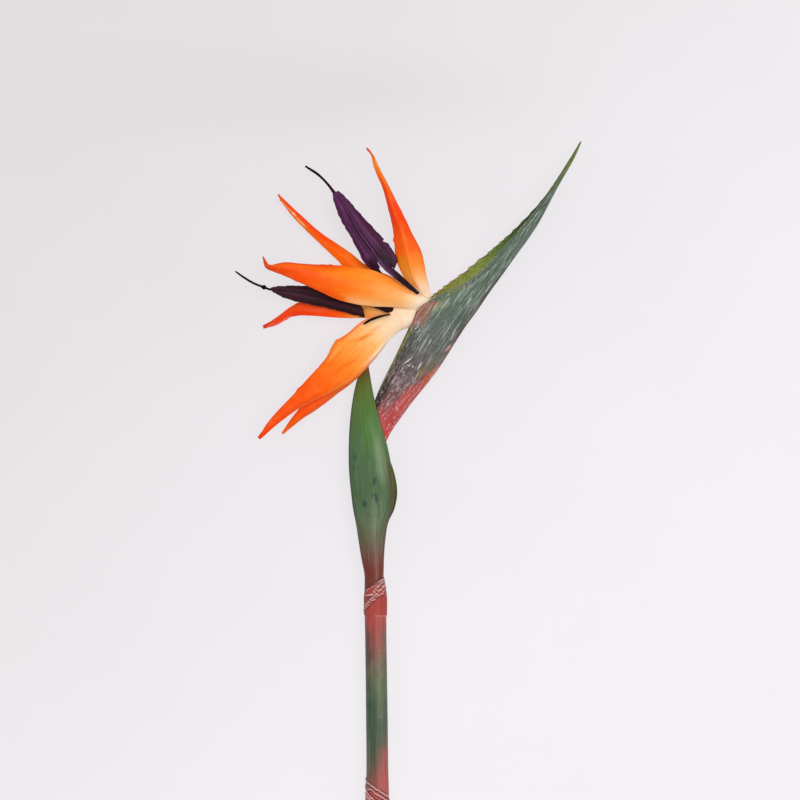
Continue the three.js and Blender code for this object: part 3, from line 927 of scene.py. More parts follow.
    def creased(self, colour: Socket, pale: Colour, gap: Colour) -> Socket:
        """Draws the fold lines of a node: pale edges, and painted shade in its creases.

        Args:
            colour: What lies underneath.
            pale: The colour of the thin edges, which the mesh marks as pale.
            gap: The colour of the painted shade in the creases, which it marks as gap.

        Returns:
            The colour with the lines on it.
        """
        break_up = self.noise(self.spot, BREAK_SCALE, 2.0, 0.6)
        edges = self.times(self.mark("pale"), self.rescale(break_up, 0.3, 0.52, 0.15, 1.0))
        return self.tint(self.tint(colour, self.mark("gap"), gap), edges, pale)

    def finish(
        self,
        colour: Socket,
        roughness: object,
        height: Socket | None = None,
        depth: float = 0.1,
        **fixed: float,
    ) -> Material:
        """Wires up the shader.

        Args:
            colour: The base colour.
            roughness: The roughness, a number or a socket.
            height: Relief between 0 and 1, or None.
            depth: How deep the relief is, in mm.
            fixed: Other inputs of the shader, by name with _ for a space.

        Returns:
            The material.
        """
        self.feed(self.shader.inputs["Base Color"], colour)
        self.feed(self.shader.inputs["Roughness"], roughness)
        if height is not None:
            node = self.add("ShaderNodeBump")
            self.feed(node.inputs["Height"], height)
            self.feed(node.inputs["Distance"], depth * MM)
            self.feed(self.shader.inputs["Normal"], node.outputs[0])
        for name, value in fixed.items():
            self.feed(self.shader.inputs[name.replace("_", " ")], value)
        return self.material


@dataclass(frozen=True)
class PetalFinish:
    """Thin waxy flesh with fine lengthwise veins, darker along its margins."""

    stops: Stops
    washes: tuple[Wash, ...] = ()
    bands: tuple[Band, ...] = ()
    margin: Colour = (222, 52, 20)
    margin_strength: float = 0.6
    margin_from: float = 0.25
    vein: Colour = (226, 72, 14)
    vein_shade: float = 0.13
    vein_pitch: float = 13.0
    vein_depth: float = 0.12
    speck: Colour = (150, 66, 20)
    pale_speck: Colour = (255, 226, 190)
    speck_scale: float = 130.0
    glow: Colour = (255, 172, 84)
    burn: Colour = (240, 76, 18)
    bloom: Colour = (255, 206, 150)

    def material(self, name: str) -> Material:
        """Builds the finish.

        Args:
            name: The material's name.

        Returns:
            The material.
        """
        paint = Painter(name)
        colour = paint.ramp(paint.along, self.stops)
        clouds = paint.noise(paint.spot, 150.0, 4.0, 0.6)
        colour = paint.tint(colour, paint.rescale(clouds, 0.45, 0.75, 0.0, 0.16), self.glow)
        colour = paint.tint(colour, paint.rescale(clouds, 0.5, 0.28, 0.0, 0.14), self.burn)
        colour = paint.washed(colour, self.washes, 0.8)
        colour = paint.banded(colour, self.bands)
        veins = paint.noise(paint.stretched(paint.uv, (self.vein_pitch, 1.3, 1.0)), 1.0, 4.0, 0.7)
        fine = paint.noise(paint.stretched(paint.uv, (4.0 * self.vein_pitch, 5.0, 1.0)), 1.0, 1.0)
        strength = paint.rescale(paint.along, 0.1, 0.4, 0.35 * self.vein_shade, self.vein_shade)
        shade = paint.times(paint.rescale(veins, 0.42, 0.68), strength)
        colour = paint.tint(colour, shade, self.vein)
        grain = paint.noise(paint.spot, 900.0, 3.0, 0.6)
        colour = paint.tint(colour, paint.rescale(grain, 0.55, 0.8, 0.0, 0.12), self.bloom)
        edge = paint.off_middle(paint.across)
        start, full = self.margin_from, self.margin_from + 0.25
        begin = paint.rescale(paint.along, start, full, 0.12, self.margin_strength)
        colour = paint.tint(colour, paint.times(paint.rescale(edge, 0.41, 0.5), begin), self.margin)
        dots = paint.cells(paint.spot, self.speck_scale)
        draw = paint.add("ShaderNodeSeparateColor")
        paint.feed(draw.inputs[0], dots.outputs["Color"])
        round_ = paint.rescale(dots.outputs["Distance"], 0.08, 0.045)
        dark = paint.times(round_, paint.rescale(draw.outputs[0], 0.9, 0.92, 0.0, 0.55))
        pale = paint.times(round_, paint.rescale(draw.outputs[1], 0.9, 0.92, 0.0, 0.35))
        colour = paint.tint(colour, dark, self.speck)
        colour = paint.tint(colour, pale, self.pale_speck)
        height = paint.plus(paint.times(veins, 0.7), paint.times(fine, 0.3))
        gloss = paint.rescale(veins, 0.3, 0.7, 0.38, 0.5)
        return paint.finish(
            colour, gloss, height, self.vein_depth,
            Subsurface_Weight=0.08, Subsurface_Scale=0.002, Specular_IOR_Level=0.12,
        )


@dataclass(frozen=True)
class TongueFinish:
    """Violet flesh with strong lengthwise ribs and a groove down its middle."""

    deep: Colour
    light: Colour
    edge: Colour
    washes: tuple[Wash, ...] = ()
    bands: tuple[Band, ...] = ()

    def material(self, name: str) -> Material:
        """Builds the finish.

        Args:
            name: The material's name.

        Returns:
            The material.
        """
        paint = Painter(name)
        ribs = paint.noise(paint.stretched(paint.uv, (16.0, 0.9, 1.0)), 1.0, 4.0, 0.65)
        fine = paint.noise(paint.stretched(paint.uv, (60.0, 3.0, 1.0)), 1.0, 2.0)
        colour = paint.mix(paint.rescale(ribs, 0.36, 0.64), linear(self.deep), linear(self.light))
        colour = paint.washed(colour, self.washes, 1.0)
        colour = paint.tint(colour, paint.rescale(fine, 0.55, 0.8, 0.0, 0.35), self.light)
        colour = paint.tint(colour, paint.rescale(fine, 0.45, 0.2, 0.0, 0.5), self.edge)
        colour = paint.banded(colour, self.bands, 0.006)
        rim = paint.off_middle(paint.across)
        colour = paint.tint(colour, paint.rescale(rim, 0.44, 0.5, 0.0, 0.85), self.edge)
        height = paint.plus(paint.times(ribs, 0.75), paint.times(fine, 0.25))
        return paint.finish(colour, 0.45, height, 0.35, Specular_IOR_Level=0.18)


@dataclass(frozen=True)
class ThreadFinish:
    """Almost black violet flesh."""

    dark: Colour = (30, 16, 24)
    light: Colour = (58, 36, 48)
    root: Colour = (30, 16, 24)

    def material(self, name: str) -> Material:
        """Builds the finish.

        Args:
            name: The material's name.

        Returns:
            The material.
        """
        paint = Painter(name)
        grain = paint.noise(paint.stretched(paint.uv, (6.0, 14.0, 1.0)), 1.0, 3.0)
        colour = paint.mix(paint.rescale(grain, 0.45, 0.8), linear(self.dark), linear(self.light))
        colour = paint.tint(colour, paint.rescale(paint.along, 0.42, 0.2), self.root)
        return paint.finish(colour, 0.5, grain, 0.08, Specular_IOR_Level=0.08)


@dataclass(frozen=True)
class BractFinish:
    """A leathery bract with pale lengthwise scratches in its bloom."""

    stops: Stops
    washes: tuple[Wash, ...]
    bands: tuple[Band, ...]
    marks: tuple[Wash, ...] = ()
    streak: Colour = (226, 230, 228)
    streak_strength: float = 0.85
    streak_limits: tuple[float, float] = (0.05, 0.9)
    streak_pitch: float = 80.0
    streak_run: float = 16.0
    streak_cut: float = 0.56
    fibre_shade: float = 0.4
    flecks: tuple[Band, ...] = ()
    strokes: tuple[Wash, ...] = ()
    lay: float | None = None
    scrape: Wash | None = None
    wobble: float = 1.6
    grain: float = 0.15
    pale: Colour = (242, 222, 218)
    # gap: colour of the painted shade in the node's creases.
    gap: Colour = (84, 24, 20)
    neck: Colour = (120, 62, 55)
    dark_fibre: Colour = (34, 44, 38)
    bright_fibre: Colour = (168, 186, 172)
    scraped: Colour = (226, 230, 226)

    def material(self, name: str) -> Material:
        """Builds the finish.

        Args:
            name: The material's name.

        Returns:
            The material.
        """
        paint = Painter(name)
        colour = paint.ramp(paint.along, self.stops)
        colour = paint.tint(colour, paint.mark("neck"), self.neck)
        colour = paint.washed(colour, self.washes, self.wobble)
        colour = paint.banded(colour, self.bands)
        clouds = paint.noise(paint.spot, 110.0, 4.0, 0.6)
        fibres = paint.noise(self.lengthwise(paint, self.streak_pitch, 4.0), 1.0, 3.0, 0.7)
        dark = paint.rescale(fibres, 0.52, 0.3, 0.0, self.fibre_shade)
        colour = paint.tint(colour, dark, self.dark_fibre)
        bright = paint.rescale(fibres, 0.52, 0.72, 0.0, 0.5 * self.fibre_shade)
        colour = paint.tint(colour, bright, self.bright_fibre)
        colour = self.scratched(paint, colour, clouds)
        colour = paint.washed(colour, self.marks, 1.2)
        colour = paint.creased(colour, self.pale, self.gap)
        height = paint.plus(fibres, paint.times(clouds, 0.4))
        gloss = paint.rescale(clouds, 0.3, 0.7, 0.38, 0.55)
        return paint.finish(colour, gloss, height, self.grain, Specular_IOR_Level=0.28)

    def scratched(self, paint: Painter, colour: Socket, clouds: Socket) -> Socket:
        """Adds the pale scratches.

        Args:
            paint: The material's painter.
            colour: What lies underneath.
            clouds: Slow noise that thins them out in places.

        Returns:
            The scratched colour.
        """
        low, high = self.streak_limits
        begin = paint.rescale(paint.along, low, low + 0.12)
        end = paint.rescale(paint.along, high, high - 0.3, 0.1, 1.0)
        patches = paint.noise(paint.stretched(paint.uv, (10.0, 9.0, 1.0)), 1.0, 2.0)
        patches = paint.rescale(patches, 0.34, 0.56, 0.2, 1.0)
        where = paint.times(paint.times(begin, end), patches)
        for pitch, run, cut, strength in (
            (1.9, 1.1, 0.02, 0.45),
            (1.35, 0.65, 0.06, 0.7),
            (1.0, 0.45, 0.1, 0.95),
        ):
            vector = self.lengthwise(paint, self.streak_pitch * pitch, self.streak_run * run)
            lines = paint.noise(vector, 1.0, 1.0, 0.5)
            cut_off = self.streak_cut + cut
            share = paint.times(paint.rescale(lines, cut_off, cut_off + 0.045), where)
            share = paint.times(share, self.streak_strength * strength)
            colour = paint.tint(colour, share, self.streak)
        if self.scrape is not None:
            level = paint.noise(paint.stretched(paint.spot, (1.0, 0.5, 1.0), 50.0), 620.0, 1.0, 0.5)
            line = paint.rescale(paint.off_middle(level), 0.04, 0.015)
            line = paint.times(line, paint.rescale(paint.noise(paint.spot, 420.0), 0.46, 0.52))
            pale = paint.tint(colour, line, self.scraped)
            colour = paint.mix(self.mask(paint), colour, pale)
        return paint.washed(self.flecked(paint, colour), self.strokes, 0.15) if self.strokes else colour

    def lengthwise(self, paint: Painter, pitch: float, run: float) -> Socket:
        """Coordinates drawn out along the fibres, which follow the skin or lie straight.

        Args:
            paint: The material's painter.
            pitch: How many fibres fit across the sheet.
            run: How many fit along it.

        Returns:
            The coordinates.
        """
        if self.lay is None:
            return paint.stretched(paint.uv, (pitch, run, 1.0))
        return paint.stretched(paint.spot, (5.0 * run, 20.0 * pitch, 9.0 * pitch), -self.lay)

    def flecked(self, paint: Painter, colour: Socket) -> Socket:
        """Scatters tiny short flecks over parts of the skin.

        Args:
            paint: The material's painter.
            colour: What lies underneath.

        Returns:
            The flecked colour.
        """
        for i, part in enumerate(self.flecks):
            grains = paint.noise(self.lengthwise(paint, 48.0 + 4.0 * i, 84.0 + 9.0 * i), 1.0, 1.5, 0.6)
            shown = paint.rescale(grains, 0.57, 0.68, 0.0, part.strength)
            share = paint.times(paint.inside(paint.along, part), shown)
            colour = paint.tint(colour, share, part.colour)
        return colour

    def mask(self, paint: Painter) -> Socket:
        """1 where the scraped patch is.

        Args:
            paint: The material's painter.

        Returns:
            The mask.
        """
        black = paint.add("ShaderNodeRGB")
        black.outputs[0].default_value = (0.0, 0.0, 0.0, 1.0)
        shade = paint.washed(black.outputs[0], (self.scrape,), 1.0)
        split = paint.add("ShaderNodeSeparateColor")
        paint.feed(split.inputs[0], shade)
        return split.outputs[0]


@dataclass(frozen=True)
class LiningFinish:
    """The smooth inside of a bract, or its thin edge."""

    stops: Stops
    shade: Colour
    dapple: float = 0.5
    beats: float = 60.0

    def material(self, name: str) -> Material:
        """Builds the finish.

        Args:
            name: The material's name.

        Returns:
            The material.
        """
        paint = Painter(name)
        colour = paint.ramp(paint.along, self.stops)
        grain = paint.noise(paint.stretched(paint.uv, (40.0, self.beats, 1.0)), 1.0, 3.0, 0.6)
        colour = paint.tint(colour, paint.rescale(grain, 0.42, 0.68, 0.0, self.dapple), self.shade)
        return paint.finish(colour, 0.5, grain, 0.1, Specular_IOR_Level=0.25)


@dataclass(frozen=True)
class StalkFinish:
    """Smooth stalk skin that changes colour along and round the stalk, with pale fold lines, painted shade on
    its flanks and in its creases, and a painted highlight streak with waxy specks.
    """

    stops: Stops
    washes: tuple[Wash, ...]
    bands: tuple[Band, ...] = ()
    pale: Colour = (242, 222, 218)
    # gap: colour of the painted shade in the node's creases.
    gap: Colour = (92, 22, 20)
    flank_shade: Colour = (50, 42, 38)
    dark_fibre: Colour = (58, 40, 36)
    bright_fibre: Colour = (186, 168, 150)
    # Colours of the waxy specks and of the painted highlight streak that they cluster in.
    wax_and_glint: Colour = (198, 184, 176)
    shine: Colour = (206, 196, 186)

    def material(self, name: str) -> Material:
        """Builds the finish.

        Args:
            name: The material's name.

        Returns:
            The material.
        """
        paint = Painter(name)
        colour = paint.ramp(paint.along, self.stops)
        colour = paint.washed(colour, self.washes, 2.2)
        # Painted shade on both flanks, where the round stalk turns away from the light.
        for low, high in ((0.2, 0.27), (0.73, 0.8)):
            flank_shade = paint.times(paint.strip(paint.across, (low, high), 0.07), 0.65)
            colour = paint.tint(colour, flank_shade, self.flank_shade)
        colour = paint.banded(colour, self.bands)
        fibres = paint.noise(paint.stretched(paint.uv, (34.0, 3.0, 1.0)), 1.0, 3.0, 0.65)
        colour = paint.tint(colour, paint.rescale(fibres, 0.5, 0.28, 0.0, 0.4), self.dark_fibre)
        colour = paint.tint(colour, paint.rescale(fibres, 0.54, 0.74, 0.0, 0.3), self.bright_fibre)
        # Waxy specks, clustered in a painted highlight streak right of the middle, which is lightened as
        # well.
        wax_and_glint = paint.noise(paint.stretched(paint.spot, (1.0, 0.6, 1.0)), 1500.0, 2.0, 0.7)
        shine = paint.strip(paint.across, (0.57, 0.62), 0.07)
        spots = paint.times(paint.rescale(wax_and_glint, 0.58, 0.72), paint.rescale(shine, 0.0, 1.0, 0.06, 0.5))
        colour = paint.tint(colour, spots, self.wax_and_glint)
        colour = paint.tint(colour, paint.times(shine, 0.08), self.shine)
        colour = paint.creased(colour, self.pale, self.gap)
        height = paint.plus(fibres, paint.times(wax_and_glint, 0.3))
        return paint.finish(colour, 0.38, height, 0.12, Specular_IOR_Level=0.35)


@dataclass(frozen=True)
class FleshFinish:
    """Pale wet flesh, as on a cut stalk or an ovary, with the dots of its fibres."""

    colour: Colour
    shade: Colour
    dots: float = 0.0
    fibre: Colour = (132, 104, 62)
    fibre_scale: float = 900.0

    def material(self, name: str) -> Material:
        """Builds the finish.

        Args:
            name: The material's name.

        Returns:
            The material.
        """
        paint = Painter(name)
        tone = paint.noise(paint.spot, 260.0, 4.0, 0.6)
        colour = paint.mix(paint.rescale(tone, 0.35, 0.7), linear(self.colour), linear(self.shade))
        cells = paint.cells(paint.stretched(paint.spot, (1.0, 0.2, 1.0)), self.fibre_scale)
        ends = paint.rescale(cells.outputs["Distance"], 0.32, 0.18, 0.0, self.dots)
        colour = paint.tint(colour, ends, self.fibre)
        return paint.finish(
            colour, 0.45, tone, 0.15,
            Subsurface_Weight=0.1, Subsurface_Scale=0.002, Specular_IOR_Level=0.25,
        )


# Pieces


def put(piece: Piece, node: str) -> None:
    """Sets a finished piece in the place of its solid.

    Args:
        piece: The finished piece.
        node: The solid's node.
    """
    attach(piece, "root")
    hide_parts(node)
    LOG.info("%s: %d faces", piece.name, len(piece.data.polygons))


def dress(piece: Piece, materials: Iterable[Material]) -> None:
    """Gives a piece its materials, the main one first."""
    for material in materials:
        piece.data.materials.append(material)


@dataclass
class Petal:
    """One sepal."""

    node: str
    slot: str
    blade: Blade
    finish: PetalFinish
    thickness: float = 1.05
    edge_share: float = 0.5
    rows: int = 120
    columns: int = 24

    def build(self) -> None:
        """Draws the sepal and dresses it."""
        piece = self.blade.drawn(self.node + "_petal", self.rows, self.columns)
        face(piece, Facing.UP)
        dress(piece, [self.finish.material(self.node + "_flesh")])
        thicken(piece, self.thickness, self.shares(), 0.0)
        put(piece, self.node)

    def shares(self) -> Array:
        """How thick each vertex is: full along the rib, thin at the margins and the tip.

        Returns:
            One share of the thickness for each vertex.
        """
        w = np.abs(np.linspace(-1, 1, self.columns + 1))
        t = np.linspace(0, 1, self.rows + 1)
        return np.outer(1 - 0.35 * smooth(0.8, 1.0, t), 1 - (1 - self.edge_share) * w).ravel()


@dataclass(frozen=True)
class Camera:
    """The camera, straight above the middle of the photograph."""

    x: float = -4.95
    y: float = 99.0
    height: float = 3000.0
    span: float = 440.0
    sensor: float = 36.0

    def build(self) -> None:
        """Adds the camera and looks through it."""
        deselect()
        bpy.ops.object.camera_add(location=(self.x * MM, self.y * MM, self.height * MM), rotation=(0, 0, 0))
        camera = bpy.context.object
        camera.name = "camera"
        camera.data.sensor_width = self.sensor
        camera.data.lens = self.sensor * (self.height - MID_HEIGHT) / self.span
        camera.data.clip_end = 50.0
        bpy.context.scene.camera = camera


@dataclass(frozen=True)
class Studio:
    """A lit table and the soft lamps over it."""

    near: Colour = (246, 243, 247)
    far: Colour = (229, 225, 227)
    albedo: float = 0.14
    glow: float = 0.85
    sky: float = 0.46
    lean: tuple[float, float] = (0.85, 0.9)
    fade: tuple[float, float] = (-0.46, 0.17)
    shadow_rows: tuple[float, float] = (0.262, 0.276)

    def build(self) -> None:
        """Adds the table, the lamps and the sky."""
        deselect()
        bpy.ops.mesh.primitive_plane_add(size=8.0, location=(0, 0, 0))
        table = bpy.context.object
        table.name = "table"
        table.data.materials.append(self.top())
        self.lamp("key", (0.75, 0.45, 2.2), 1.6, 30.0)
        self.lamp("fill", (-1.2, 0.5, 2.0), 1.8, 9.5)
        world = bpy.data.worlds.new("sky")
        world.use_nodes = True
        world.node_tree.nodes["Background"].inputs["Color"].default_value = (1.0, 0.99, 1.0, 1.0)
        world.node_tree.nodes["Background"].inputs["Strength"].default_value = self.sky
        bpy.context.scene.world = world
        bpy.context.scene.view_settings.view_transform = "Standard"

    def top(self) -> Material:
        """The table's milky top, lit from below, with painted shade that makes it a little greyer to the far
        left, and a painted shadow band there.

        Returns:
            The material.
        """
        paint = Painter("milky_top")
        split = paint.add("ShaderNodeSeparateXYZ")
        paint.feed(split.inputs[0], paint.spot)
        x, y = split.outputs[0], split.outputs[1]
        # Painted shade: greyer towards the far left.
        slope = paint.less(paint.times(x, self.lean[0]), paint.times(y, self.lean[1]))
        share = paint.rescale(slope, *self.fade)
        # Painted shadow: a soft grey band across the far left.
        dip = paint.times(paint.strip(y, self.shadow_rows, 0.03), paint.rescale(x, 0.12, -0.03, 0.0, 0.25))
        share = paint.less(share, dip)
        fleck = paint.noise(paint.spot, 9.0, 4.0, 0.6)
        share = paint.plus(share, paint.times(paint.less(fleck, 0.5), 0.25), True)
        colour = paint.mix(share, linear(self.far), linear(self.near))
        shown = paint.mix(1.0, colour, (self.albedo, self.albedo, self.albedo, 1.0), Blend.TIMES)
        paint.feed(paint.shader.inputs["Emission Color"], colour)
        return paint.finish(shown, 0.9, Specular_IOR_Level=0.0, Emission_Strength=self.glow)

    def lamp(self, name: str, place: Point, size: float, power: float) -> None:
        """Adds a soft lamp that looks at the head.

        Args:
            name: Its name.
            place: Where it hangs, in metres.
            size: The width of its square face, in metres.
            power: Its power, in watts.
        """
        aim = np.array((0.0, 0.1, 0.0)) - np.array(place)
        deselect()
        tilt = math.atan2(math.hypot(aim[0], aim[1]), -aim[2])
        turn = math.atan2(-aim[0], aim[1])
        bpy.ops.object.light_add(type="AREA", location=place, rotation=(tilt, 0.0, turn))
        light = bpy.context.object
        light.name = name
        light.data.size = size
        light.data.energy = power


UPPER_SEPAL_RIGHT = Petal(
    "upper_sepal_right",
    "sepal",
    Blade(
        rail((6.5, 155.5, 0.3), (-3, 166.5, 0.2), (-7.3, 178, -0.6), (-8.5, 191, -0.2), (-11.2, 203.5, 0.8),
            (-14.5, 215.5, 2.4), (-19.5, 227.5, 3.6), (-20.7, 233.2, 4.4), (-23.6, 237.2, 5)),
        rail((9.5, 155, 0.8), (2, 166.5, 1.8), (-1.6, 179.5, 2.6), (-4.2, 191.5, 3.2), (-8.4, 202.5, 3.6),
            (-12.4, 215.5, 4), (-17.6, 227.5, 4.5), (-20, 233.4, 4.8), (-23.4, 237.4, 5.2)),
        rail((12.5, 155, 0.3), (9.8, 166.5, 0.8), (7.2, 179.5, 0.8), (1.6, 191, 1.3), (-4.2, 203, 2),
            (-10.9, 216, 2.8), (-16.9, 227.5, 3.8), (-19.8, 233.6, 4.4), (-22.9, 237.6, 5)),
        sharpness=1.15,
        nicks=(
            Nick(-1, 0.337, 1.1, 0.008),
            Nick(1, 0.88, -0.25, 0.012),
            Nick(-1, 0.88, -0.15, 0.012),
            Nick(1, 0.95, 0.3, 0.022),
            Nick(-1, 0.95, 0.3, 0.022),
        ),
        folds=(Fold((0.08, -0.02), (0.36, -0.04), 0.3, 0.14),),
        seed=11,
    ),
    PetalFinish(
        (
            (0, (253, 232, 206)), (0.05, (252, 222, 186)), (0.1, (252, 200, 148)), (0.14, (252, 172, 100)),
            (0.19, (252, 142, 60)), (0.27, (250, 108, 28)), (0.4, (250, 86, 18)), (0.55, (250, 80, 16)),
            (0.66, (255, 120, 38)), (0.76, (252, 142, 58)), (0.88, (244, 120, 46)), (1, (216, 92, 50)),
        ),
        bands=(
            # Painted shade: the half left of the crease is darker near the base.
            Band((0.07, 0.26), (0.08, 0.49), (224, 136, 52), 0.8, (0.05, 0.05)),
            Band((0.05, 0.3), (0, 0.08), (255, 116, 34), 0.75, (0.04, 0.05)),
            Band((0.26, 0.42), (0, 0.46), (250, 100, 16), 0.75, (0.05, 0.08)),
            Band((0.42, 0.66), (0, 0.42), (246, 72, 10), 0.7, (0.1, 0.1)),
            # Painted shade in the crease line, then a painted highlight on its lit right side.
            Band((0.08, 0.3), (0.47, 0.5), (206, 104, 40), 0.5, (0.06, 0.035)),
            Band((0.1, 0.34), (0.53, 0.6), (255, 140, 56), 0.4, (0.1, 0.05)),
            Band((0.86, 1), (0, 1), (226, 92, 40), 0.6, (0.03, 0.1)),
        ),
        margin_from=0.1,
    ),
)

UPPER_SEPAL_BACK = Petal(
    "upper_sepal_back",
    "sepal",
    Blade(
        rail((10, 150.5, -2.4), (-14, 157, -3.8), (-28.5, 164.5, -5.4), (-40, 176.5, -6),
            (-51.5, 187.5, -6.4), (-63.5, 199.5, -6.8), (-70, 208, -7), (-72.5, 212, -7)),
        rail((10.5, 153.5, -1.8), (-10.5, 161, -3), (-25.5, 168.5, -4), (-37.5, 179, -4.6),
            (-49.5, 189, -5), (-61.5, 201, -5.5), (-69, 208.5, -6.2), (-72, 212.5, -6.8)),
        rail((10.5, 156, -2.2), (-7, 166, -3.8), (-21.5, 172, -5.4), (-34.9, 182, -6), (-48.4, 191, -6.4),
            (-61, 202, -6.8), (-68.9, 209.5, -7), (-72, 212.5, -7)),
        nicks=(Nick(-1, 0.9, 0.5, 0.012),),
        seed=12,
    ),
    PetalFinish(
        (
            (0, (248, 222, 182)), (0.12, (253, 182, 112)), (0.25, (255, 148, 68)), (0.35, (255, 124, 34)),
            (0.5, (255, 106, 18)), (0.65, (250, 84, 36)), (0.8, (248, 84, 40)), (0.93, (236, 84, 36)),
            (1, (206, 74, 26)),
        ),
        bands=(
            # Painted light: the lower-left half of the fold is a lighter orange, as it faces the light.
            Band((0.3, 0.96), (0.04, 0.42), (255, 116, 18), 0.85, (0.06, 0.06)),
            Band((0.52, 0.9), (0.56, 1), (248, 78, 32), 0.6, (0.08, 0.08)),
            # Painted highlights: two glossy streaks and a white glint on the lower-left half.
            Band((0.65, 0.7), (0.2, 0.32), (255, 196, 136), 0.8, (0.025, 0.07)),
            Band((0.735, 0.86), (0.22, 0.34), (255, 190, 130), 0.7, (0.03, 0.07)),
            Band((0.722, 0.734), (0.24, 0.38), (255, 238, 214), 0.9, (0.01, 0.06)),
        ),
    ),
)

UPPER_SEPAL_FRONT = Petal(
    "upper_sepal_front",
    "sepal",
    Blade(
        rail((5.9, 147.7, 3.4), (-5, 149.8, 5.6), (-20.5, 150.3, 9), (-36.5, 153.2, 12.2), (-56.5, 161.8, 15),
            (-70.5, 167.9, 17), (-78.3, 171.4, 18.2), (-80, 177.5, 19)),
        rail((10, 152, 4.8), (-3, 155, 8), (-18, 159.5, 12), (-36, 163, 15.5), (-55, 168, 18),
            (-69.5, 171.5, 19.4), (-77.5, 172.5, 19.6), (-80, 177.5, 19.4)),
        rail((12.1, 154.3, 2.2), (-3, 161, 5.8), (-17, 169.2, 9), (-34, 172.4, 12.4), (-53.5, 173.2, 15.4),
            (-69, 174.1, 17.4), (-76.2, 172.8, 18.4), (-79.7, 177.5, 19)),
        sharpness=2.1,
        nicks=(Nick(1, 0.494, 0.8, 0.006), Nick(1, 0.52, 0.3, 0.006), Nick(1, 0.7, 0.35, 0.008),
               Nick(-1, 0.62, 0.25, 0.01)),
        folds=(Fold((0.15, 0.45), (0.45, 0.5), 0.35, 0.16),),
        ripple=0.35,
        seed=13,
    ),
    PetalFinish(
        (
            (0, (252, 236, 210)), (0.06, (253, 230, 198)), (0.11, (254, 208, 156)), (0.15, (255, 188, 122)),
            (0.2, (255, 178, 104)), (0.27, (255, 164, 86)), (0.35, (255, 142, 56)), (0.43, (255, 120, 34)),
            (0.51, (255, 104, 24)), (0.6, (255, 94, 24)),
            (0.7, (246, 86, 36)), (0.8, (232, 80, 38)), (0.9, (224, 82, 46)), (1, (206, 84, 52)),
        ),
        washes=(
            Wash(-30, 167, 28, 5, -6, (254, 146, 54), 0.6),
            Wash(-62, 172.6, 22, 2.6, 0, (255, 124, 34), 0.5),
            Wash(-24, 154, 18, 3.4, -10, (255, 176, 104), 0.5),
            Wash(-45, 158.2, 16, 2.2, -22, (255, 92, 32), 0.5),
        ),
        bands=(
            Band((0.09, 0.28), (0.8, 1), (254, 142, 52), 0.75, (0.04, 0.14)),
            Band((0.12, 0.38), (0, 0.1), (255, 204, 146), 0.6, (0.06, 0.1)),
            Band((0.5, 1), (0.9, 1), (232, 66, 16), 0.5, (0.06, 0.06)),
        ),
        margin_from=0.42,
    ),
    columns=28,
)

LOWER_SEPAL_BACK = Petal(
    "lower_sepal_back",
    "red_sepal",
    Blade(
        rail((0.5, 140.5, -2), (-12, 143.5, -1.8), (-25.5, 144, -1.8), (-38, 144.2, -2.4),
            (-49.5, 145.1, -3.4), (-58.5, 145.6, -5.2), (-65, 144.8, -8), (-71.5, 141, -9.2),
            (-80.3, 138.3, -9.8)),
        rail((0.5, 143, -1.6), (-12, 147, -1), (-25, 148, -0.8), (-38, 149, -0.9), (-50, 149.5, -1.8),
            (-59.5, 149.5, -3.8), (-66, 147, -7), (-72.5, 142, -8.8), (-80.4, 139, -9.6)),
        rail((1, 145.5, -2), (-11.5, 151, -1.8), (-24, 152.5, -1.8), (-38, 153.5, -2.2), (-50, 153.5, -3.2),
            (-60, 153, -5), (-67.2, 149, -8), (-73.8, 144.1, -9.2), (-80.8, 140, -9.8)),
        nicks=(Nick(-1, 0.84, -0.5, 0.03), Nick(-1, 0.8, 0.3, 0.01)),
        folds=(Fold((0.4, 0.1), (0.98, -0.1), 0.4, 0.25),),
        seed=14,
    ),
    PetalFinish(
        (
            (0, (255, 228, 180)), (0.1, (255, 204, 146)), (0.2, (255, 186, 108)), (0.28, (255, 170, 84)),
            (0.35, (255, 108, 40)), (0.44, (255, 90, 38)), (0.6, (252, 76, 34)), (0.75, (238, 72, 38)),
            (0.9, (234, 82, 54)), (1, (210, 62, 40)),
        ),
        washes=(
            # Painted sheen: pale pink glints in the middle and along the lower edge near the tip.
            Wash(-50, 148.6, 14, 1.2, 0, (246, 108, 74), 0.6),
            Wash(-68.5, 143.2, 9, 0.7, 32, (250, 164, 140), 0.45, 0.9),
            Wash(-76, 140, 4, 0.6, 20, (240, 130, 112), 0.7, 0.9),
        ),
        # Painted light: the upper half is lifted to offset the shadow that the lower tongue casts on it.
        bands=(Band((0.34, 0.72), (0.5, 1), (255, 92, 50), 0.85, (0.06, 0.15)),),
        margin=(222, 54, 26),
        margin_strength=0.4,
    ),
)

